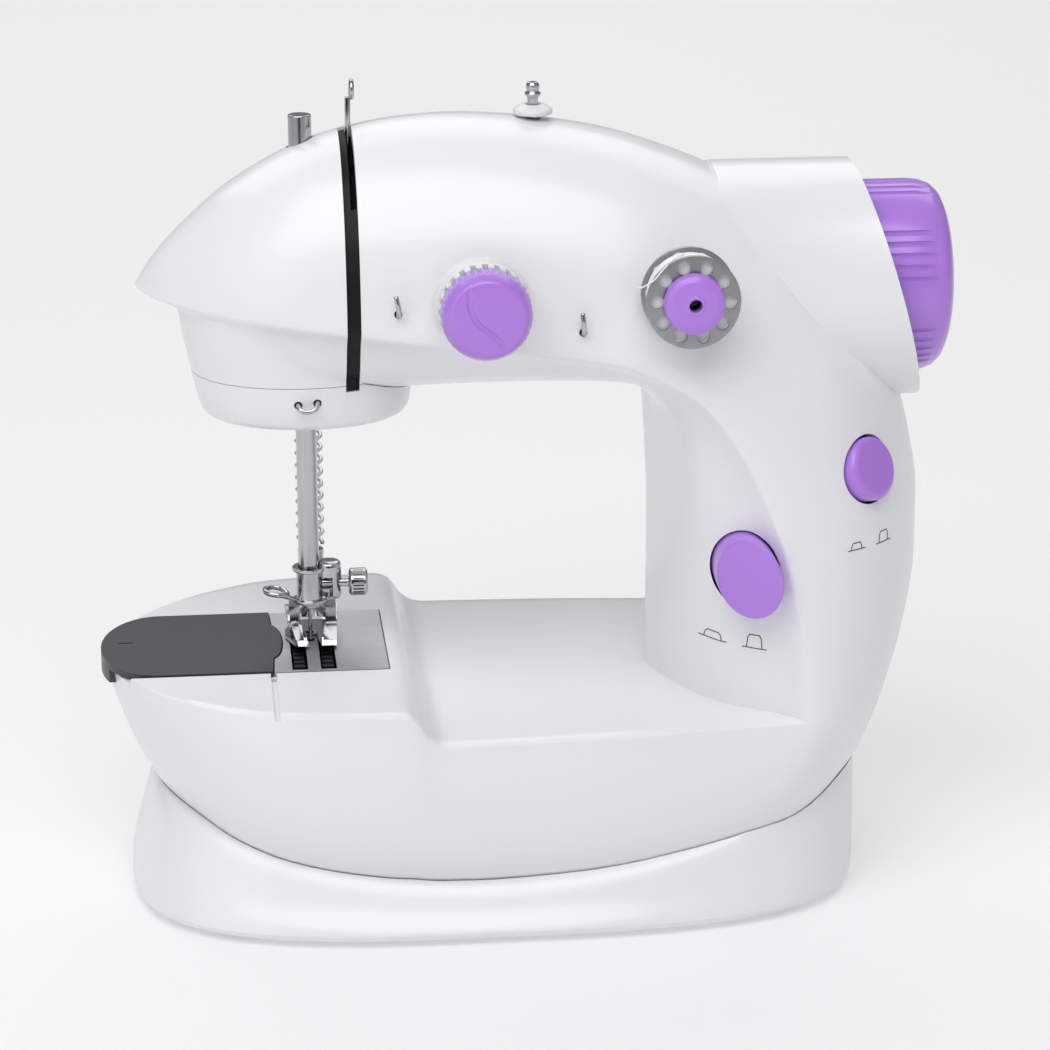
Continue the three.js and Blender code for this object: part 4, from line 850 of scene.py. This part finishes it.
# --- Thread tension unit --------------------------------------------------------------------
# A lilac ABS knob with a finely serrated rim on the front of the arm, ahead of a notched
# white ring and a collar that seats on the shell.
trim_white = plastic("white_trim", (0.80, 0.80, 0.82), rough=0.36, grain=0.5, coat=0.15, tint=0.04)
collar = rounded([(1.8, 0), (10.2, 0), (10.2, -2.2), (9, -3.4), (1.8, -3.4)], 0.4, True)
collar = lathe("y", collar, (DIAL[0], -33.8, DIAL[1]), 72, True)
collar = solid("tension_collar_moulding", collar, trim_white)
smooth(collar)
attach(collar, "machine")
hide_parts("tension_collar")
core = solid("tension_core", lathe("y", rounded([(1.8, 0), (8.5, 0), (8.5, -4.4), (1.8, -4.4)], 0.2, True),
                                   (DIAL[0], -37.7, DIAL[1]), 72, True), black_abs)
smooth(core)
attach(core, "tension_body")
ring = solid("tension_ring", lathe("y", rounded([(8.6, 0), (9.9, 0), (9.9, -4.6), (8.6, -4.6)], 0.25, True),
                                   (DIAL[0], -37.6, DIAL[1]), 112, True), trim_white)
notches = bmesh.new()
for i in range(24):
    found = bmesh.ops.create_cube(notches, size=1.0)["verts"]
    bmesh.ops.scale(notches, verts=found, vec=Vector((1.25, 2.6, 3.0)) * MM)
    bmesh.ops.translate(notches, verts=found, vec=Vector((0, -41.2, 9.4)) * MM)
    bmesh.ops.rotate(notches, verts=found, cent=(0, 0, 0),
                     matrix=Matrix.Rotation(i / 24 * 2 * math.pi, 3, "Y"))
bmesh.ops.translate(notches, verts=notches.verts, vec=Vector((DIAL[0], 0, DIAL[1])) * MM)
cut(ring, notches)
smooth(ring)
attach(ring, "tension_body")
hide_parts("tension_disc")
knob = rounded([(0, -42.4), (9.75, -42.4), (9.7, -46.3), (8.3, -49.2), (0, -49.4)], 0.9)
knob = solid("tension_knob", lathe("y", knob, (DIAL[0], 0, DIAL[1]), 144), lilac_abs)
teeth = bmesh.new()
for i in range(40):
    turn = i / 40 * 2 * math.pi
    found = bmesh.ops.create_cone(teeth, cap_ends=True, segments=6, radius1=0.42 * MM, radius2=0.42 * MM,
                                  depth=8.6 * MM)["verts"]
    bmesh.ops.rotate(teeth, verts=found, cent=(0, 0, 0), matrix=AXES["y"])
    bmesh.ops.translate(teeth, verts=found, vec=Vector((DIAL[0] + 9.78 * math.cos(turn), -44.8,
                                                        DIAL[1] + 9.78 * math.sin(turn))) * MM)
cut(knob, teeth)
wave = [(-4.2, 7.8), (-4.1, 5.2), (-3.8, 2.2), (-2.2, -0.8), (0.2, -2.8), (2.2, -4.6), (3.4, -6.6),
        (4.0, -8.6)]
cut(knob, tube("face_groove", [(DIAL[0] + x, -49.75, DIAL[1] + z) for x, z in wave], 0.8, lilac_abs))
smooth(knob, 38)
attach(knob, "tension_body")
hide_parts("tension_dial")

# --- Spool pin and bobbin -------------------------------------------------------------------
# A nickel plated pin through the arm's front carries a steel bobbin: two flanges with ten
# round holes on a hub, held by a small lilac cap with a hole in its face.
pin = rounded([(0, -12.6), (1.9, -12.6), (1.9, -35.4), (4.4, -35.4), (4.4, -36.2), (1.9, -36.2), (1.9, -42.4),
               (0, -42.4)], 0.25)
pin = solid("spool_pin", lathe("y", pin, (SPOOL[0], 0, SPOOL[1]), 56), satin_steel)
smooth(pin)
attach(pin, "machine")
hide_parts("bobbin_spindle")
spool = [(2.3, -37.4), (10.2, -37.4), (10.2, -38.2), (3.6, -38.2), (3.6, -45.4), (10.2, -45.4),
         (10.2, -46.2), (2.3, -46.2)]
spool = solid("spool", lathe("y", rounded(spool, 0.25, True), (SPOOL[0], 0, SPOOL[1]), 112, True), nickel)
holes = bmesh.new()
for i in range(10):
    turn = math.radians(-2 + 36 * i)
    found = bmesh.ops.create_cone(holes, cap_ends=True, segments=28, radius1=1.5 * MM, radius2=1.5 * MM,
                                  depth=14 * MM)["verts"]
    bmesh.ops.rotate(holes, verts=found, cent=(0, 0, 0), matrix=AXES["y"])
    bmesh.ops.translate(holes, verts=found, vec=Vector((SPOOL[0] + 7.8 * math.cos(turn), -41.8,
                                                        SPOOL[1] + 7.8 * math.sin(turn))) * MM)
cut(spool, holes)
smooth(spool)
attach(spool, "spool_body")
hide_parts("spool_bobbin")
cotton = bpy.data.materials.new("white_cotton")
cotton.use_nodes = True
tree = cotton.node_tree
cotton_place = tree.nodes.new("ShaderNodeTexCoord")
twist = tree.nodes.new("ShaderNodeTexWave")
twist.bands_direction = "Y"
twist.inputs["Scale"].default_value = 900.0
twist.inputs["Distortion"].default_value = 1.5
tree.links.new(cotton_place.outputs["Object"], twist.inputs["Vector"])
fleck = tree.nodes.new("ShaderNodeMix")
fleck.data_type = "RGBA"
fleck.inputs["A"].default_value = (0.86, 0.86, 0.86, 1)
fleck.inputs["B"].default_value = (0.97, 0.97, 0.97, 1)
tree.links.new(twist.outputs["Fac"], fleck.inputs["Factor"])
tree.links.new(fleck.outputs["Result"], tree.nodes["Principled BSDF"].inputs["Base Color"])
tree.nodes["Principled BSDF"].inputs["Roughness"].default_value = 0.8
twist_bump = tree.nodes.new("ShaderNodeBump")
twist_bump.inputs["Strength"].default_value = 0.15
twist_bump.inputs["Distance"].default_value = 0.00005
tree.links.new(twist.outputs["Fac"], twist_bump.inputs["Height"])
tree.links.new(twist_bump.outputs["Normal"], tree.nodes["Principled BSDF"].inputs["Normal"])
wound = rounded([(3.8, -38.5), (9.2, -38.5), (9.35, -41.8), (9.2, -45.1), (3.8, -45.1)], 0.3, True)
wound = solid("wound_thread", lathe("y", wound, (SPOOL[0], 0, SPOOL[1]), 96, True), cotton)
smooth(wound)
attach(wound, "spool_body")
lay = [(-1.4, -41.0, 9.45), (-4.0, -44.2, 9.1), (-6.6, -46.6, 7.6), (-8.8, -46.8, 5.2), (-10.9, -45.8, 3.6),
       (-11.6, -44.0, 2.9)]
strand = tube("thread_strand", [(SPOOL[0] + x, y, SPOOL[1] + z) for x, y, z in lay], 0.16, cotton, sides=2)
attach(strand, "spool_body")
cap = [(1.4, -46.5), (1.4, -49.6), (1.9, -49.6), (2.2, -49.4), (4.9, -49.4), (6.4, -48.6), (6.7, -46.5)]
cap = lathe("y", rounded(cap, 0.5, True), (SPOOL[0], 0, SPOOL[1]), 80, True)
cap = solid("spool_cap_moulding", cap, lilac_abs)
smooth(cap)
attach(cap, "spool_body")
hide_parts("spool_cap")

# --- Thread guides --------------------------------------------------------------------------
# Bent chromed wires pressed into small holes in the shell and the head cover, and a mushroom
# stud with a moulded base on top of the arm.
for name, node, path in (
        ("wire_left", "thread_guide_left", [(-29.3, -26, 140), (-29.3, -31.4, 140), (-29.3, -33.2, 140.5),
                                            (-29.4, -33.8, 142), (-29.9, -33.6, 144.6)]),
        ("wire_mid", "thread_guide_mid", [(10.3, -28, 135.8), (10.3, -34.6, 135.8), (10.3, -36.2, 136.4),
                                          (10.2, -36.7, 138), (9.9, -36.4, 140.6)]),
        ("wire_head", "head_guide", [(-50.8, -17.4, 117.2), (-50.8, -20.8, 117.2), (-50.4, -21.9, 116.6),
                                     (-48.7, -22.3, 116.2), (-47.0, -21.9, 116.8), (-46.6, -20.8, 117.6),
                                     (-46.6, -17.4, 117.6)])):
    wire = tube(name, path, 0.55, bright_steel)
    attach(wire, "machine")
    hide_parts(node)
base_ring = rounded([(1.5, 0), (4.4, 0), (4.4, 1.1), (2.4, 2.2), (1.5, 2.2)], 0.4, True)
base_ring = solid("stud_base_moulding", lathe("z", base_ring, (3, 0, 176.8), 56, True), trim_white)
smooth(base_ring)
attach(base_ring, "machine")
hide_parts("stud_base")
stud = rounded([(0, -14), (1.2, -14), (1.2, 3.4), (1.9, 4.4), (1.3, 5), (1.5, 5.6), (1.5, 6.4), (1.0, 7),
                (0, 7)], 0.25)
stud = solid("stud_pin", lathe("z", stud, (3, 0, 176.9), 48), bright_steel)
smooth(stud)
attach(stud, "machine")
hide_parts("thread_stud")

# --- Push buttons ---------------------------------------------------------------------------
# Two lilac ABS caps in wells moulded into the column: a round one on the rounded side and an
# upright oval one whose face is angled towards the needle.
power = rounded([(0, -2.6), (6, -2.6), (7.1, -1.8), (7.1, 5.6), (0, 5.6)], 0.8)
power = solid("power_cap", at_power(lathe("y", power, (0, 0, 0), 72)), lilac_abs)
smooth(power)
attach(power, "power_button_body")
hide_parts("power_button")
speed = bar("y", 1.0, 34, (0, 0, 0), 96)
bmesh.ops.scale(speed, verts=speed.verts, vec=(6500.0 * MM, 1, 9000.0 * MM))
bmesh.ops.translate(speed, verts=speed.verts, vec=Vector((SPEED[0], -39, SPEED[1])) * MM)
speed = solid("speed_cap", speed, lilac_abs)
knife = block(-40, 40, -40, 0, -30, 30)
bmesh.ops.rotate(knife, verts=knife.verts, cent=(0, 0, 0), matrix=Matrix.Rotation(math.radians(-42), 3, "Z"))
bmesh.ops.translate(knife, verts=knife.verts, vec=Vector((SPEED[0], -40.4, SPEED[1])) * MM)
cut(speed, knife)
soften_rim(speed, 0.5, 35, 4)
smooth(speed)
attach(speed, "speed_button_body")
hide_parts("speed_button")

# --- Slot liner -----------------------------------------------------------------------------
# A black ABS channel fitted in the take-up slot, just below the shell's skin, with a slit for
# the lever down its middle.
form = c_body("liner_form", 0.7, 3, 20, 4, 16, 9)
cut(form, flowing([squircle(-49.3, 24.0, 20.3, 2.1, 119.9, 96), squircle(-50.4, 24.3, 21.3, 2.1, 128, 96),
                   squircle(-51.4, 24.6, 22.5, 2.1, 136, 96)], 4), "UNION")
liner = solid("slot_liner_moulding", block(SLOT_X - 1.44, SLOT_X + 1.44, -60, 4, 119.8, 220), black_abs)
cut(liner, form, "INTERSECT")
cut(liner, c_body("liner_core", 7, 3, 20, 2, 10, 6))
cut(liner, block(SLOT_X - 5, SLOT_X + 5, -16, 10, 110, 150))
cut(liner, block(LEVER_X - 0.75, LEVER_X + 0.65, -22, 10, 126, 220))
smooth(liner)
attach(liner, "machine")
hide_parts("slot_liner")

# --- Inner works ----------------------------------------------------------------------------
# The drive inside: motor, pinion and nylon gear, main shaft with its crank, belt and pulleys,
# lower shaft, hook, bobbin case, feed dog, switches, jacks, battery tray, cells and drawer.
natural_nylon = plastic("natural_nylon", (0.70, 0.67, 0.58), rough=0.45, grain=0.7, coat=0.0, tint=0.1)
grey_abs = plastic("grey_abs", (0.22, 0.22, 0.235), rough=0.5, grain=0.8, coat=0.0, tint=0.15)
belt_rubber = plastic("belt_rubber", (0.03, 0.028, 0.026), rough=0.8, grain=1.6, coat=0.0, tint=0.35)
cell_jacket = metal("cell_jacket", (0.16, 0.17, 0.19), 0.36, brush=(1.0, 0.1, 1.0), scale=500.0, dent=0.08)
# The feed dog is a real zinc part, but its near-black colour is partly painted shade: it stands for the shadow
# down in the needle plate's slots.
dark_zinc_and_shade = metal("dark_zinc_and_shade", (0.05, 0.05, 0.055), 0.45, drift=0.4, scale=600.0, dent=0.3)
for finish, slot_name, names in (
        (white_abs, "white_abs", ["battery_door"]),
        (black_abs, "black_plastic", ["dc_jack", "pedal_jack", "power_switch", "speed_switch"]),
        (grey_abs, "grey_plastic", ["battery_tray", "upper_pulley", "lower_pulley"]),
        (cell_jacket, "cell_jacket", ["aa_cell_1", "aa_cell_2", "aa_cell_3", "aa_cell_4"]),
        (satin_steel, "brushed_steel",
         ["main_shaft", "motor", "lower_shaft", "lower_bobbin", "tension_post"]),
        (cast_zinc, "zinc", ["crank_disc", "bobbin_case", "bar_collar"]),
        (dark_zinc_and_shade, "zinc", ["feed_dog"]),
        (natural_nylon, "nylon", ["wheel_gear", "motor_pinion"]),
        (belt_rubber, "belt_rubber", ["drive_belt"]),
        (bright_steel, "chrome_steel", ["rotary_hook"])):
    for name in names:
        for place in node_objects[name].material_slots:
            place.material = finish

# --- Button marks ---------------------------------------------------------------------------
# Thin grey pictograms pad-printed on the column below each button: a low cap on a line for
# pressed and a tall cap on a line for raised.
print_grey = plastic("print_grey", (0.10, 0.10, 0.11), rough=0.55, grain=0.3, coat=0.0, tint=0.25)
front = bpy.data.objects["front_shell_moulding"]
shell_tree = BVHTree.FromPolygons([v.co for v in front.data.vertices],
                                  [p.vertices for p in front.data.polygons])


def on_skin(x, z):
    """The point on the front of the shell at x, z in millimetres."""
    found = shell_tree.ray_cast(Vector((x * MM, -0.1, z * MM)), Vector((0, 1, 0)))
    return found[0]


def mark(name, centre, tall, size):
    half, rise, round_top = (2.0, 2.9, 0.7) if tall else (2.0, 1.6, 0.5)
    cap = [(-half * 0.72, 0.0), (-half * 0.62, rise - round_top), (-half * 0.45, rise), (half * 0.45, rise),
           (half * 0.62, rise - round_top), (half * 0.72, 0.0)]
    strokes = [cap, [(-half * 1.15, 0.0), (half * 1.15, 0.0)]]
    for k, stroke in enumerate(strokes):
        points = []
        for (x0, z0), (x1, z1) in zip(stroke, stroke[1:]):
            for i in range(5):
                points.append((x0 + (x1 - x0) * i / 5, z0 + (z1 - z0) * i / 5))
        points.append(stroke[-1])
        path = []
        for x, z in points:
            path.append(on_skin(centre[0] + x * size, centre[1] + z * size) / MM)
        line = tube(f"{name}_{k}", path, 0.13, print_grey, sides=2)
        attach(line, "machine")


mark("speed_low_mark", (41.1, 61.4), False, 1.15)
mark("speed_high_mark", (49.4, 61.3), True, 1.1)
mark("power_low_mark", (71.1, 85.2), False, 0.95)
mark("power_high_mark", (78.2, 85.1), True, 0.85)
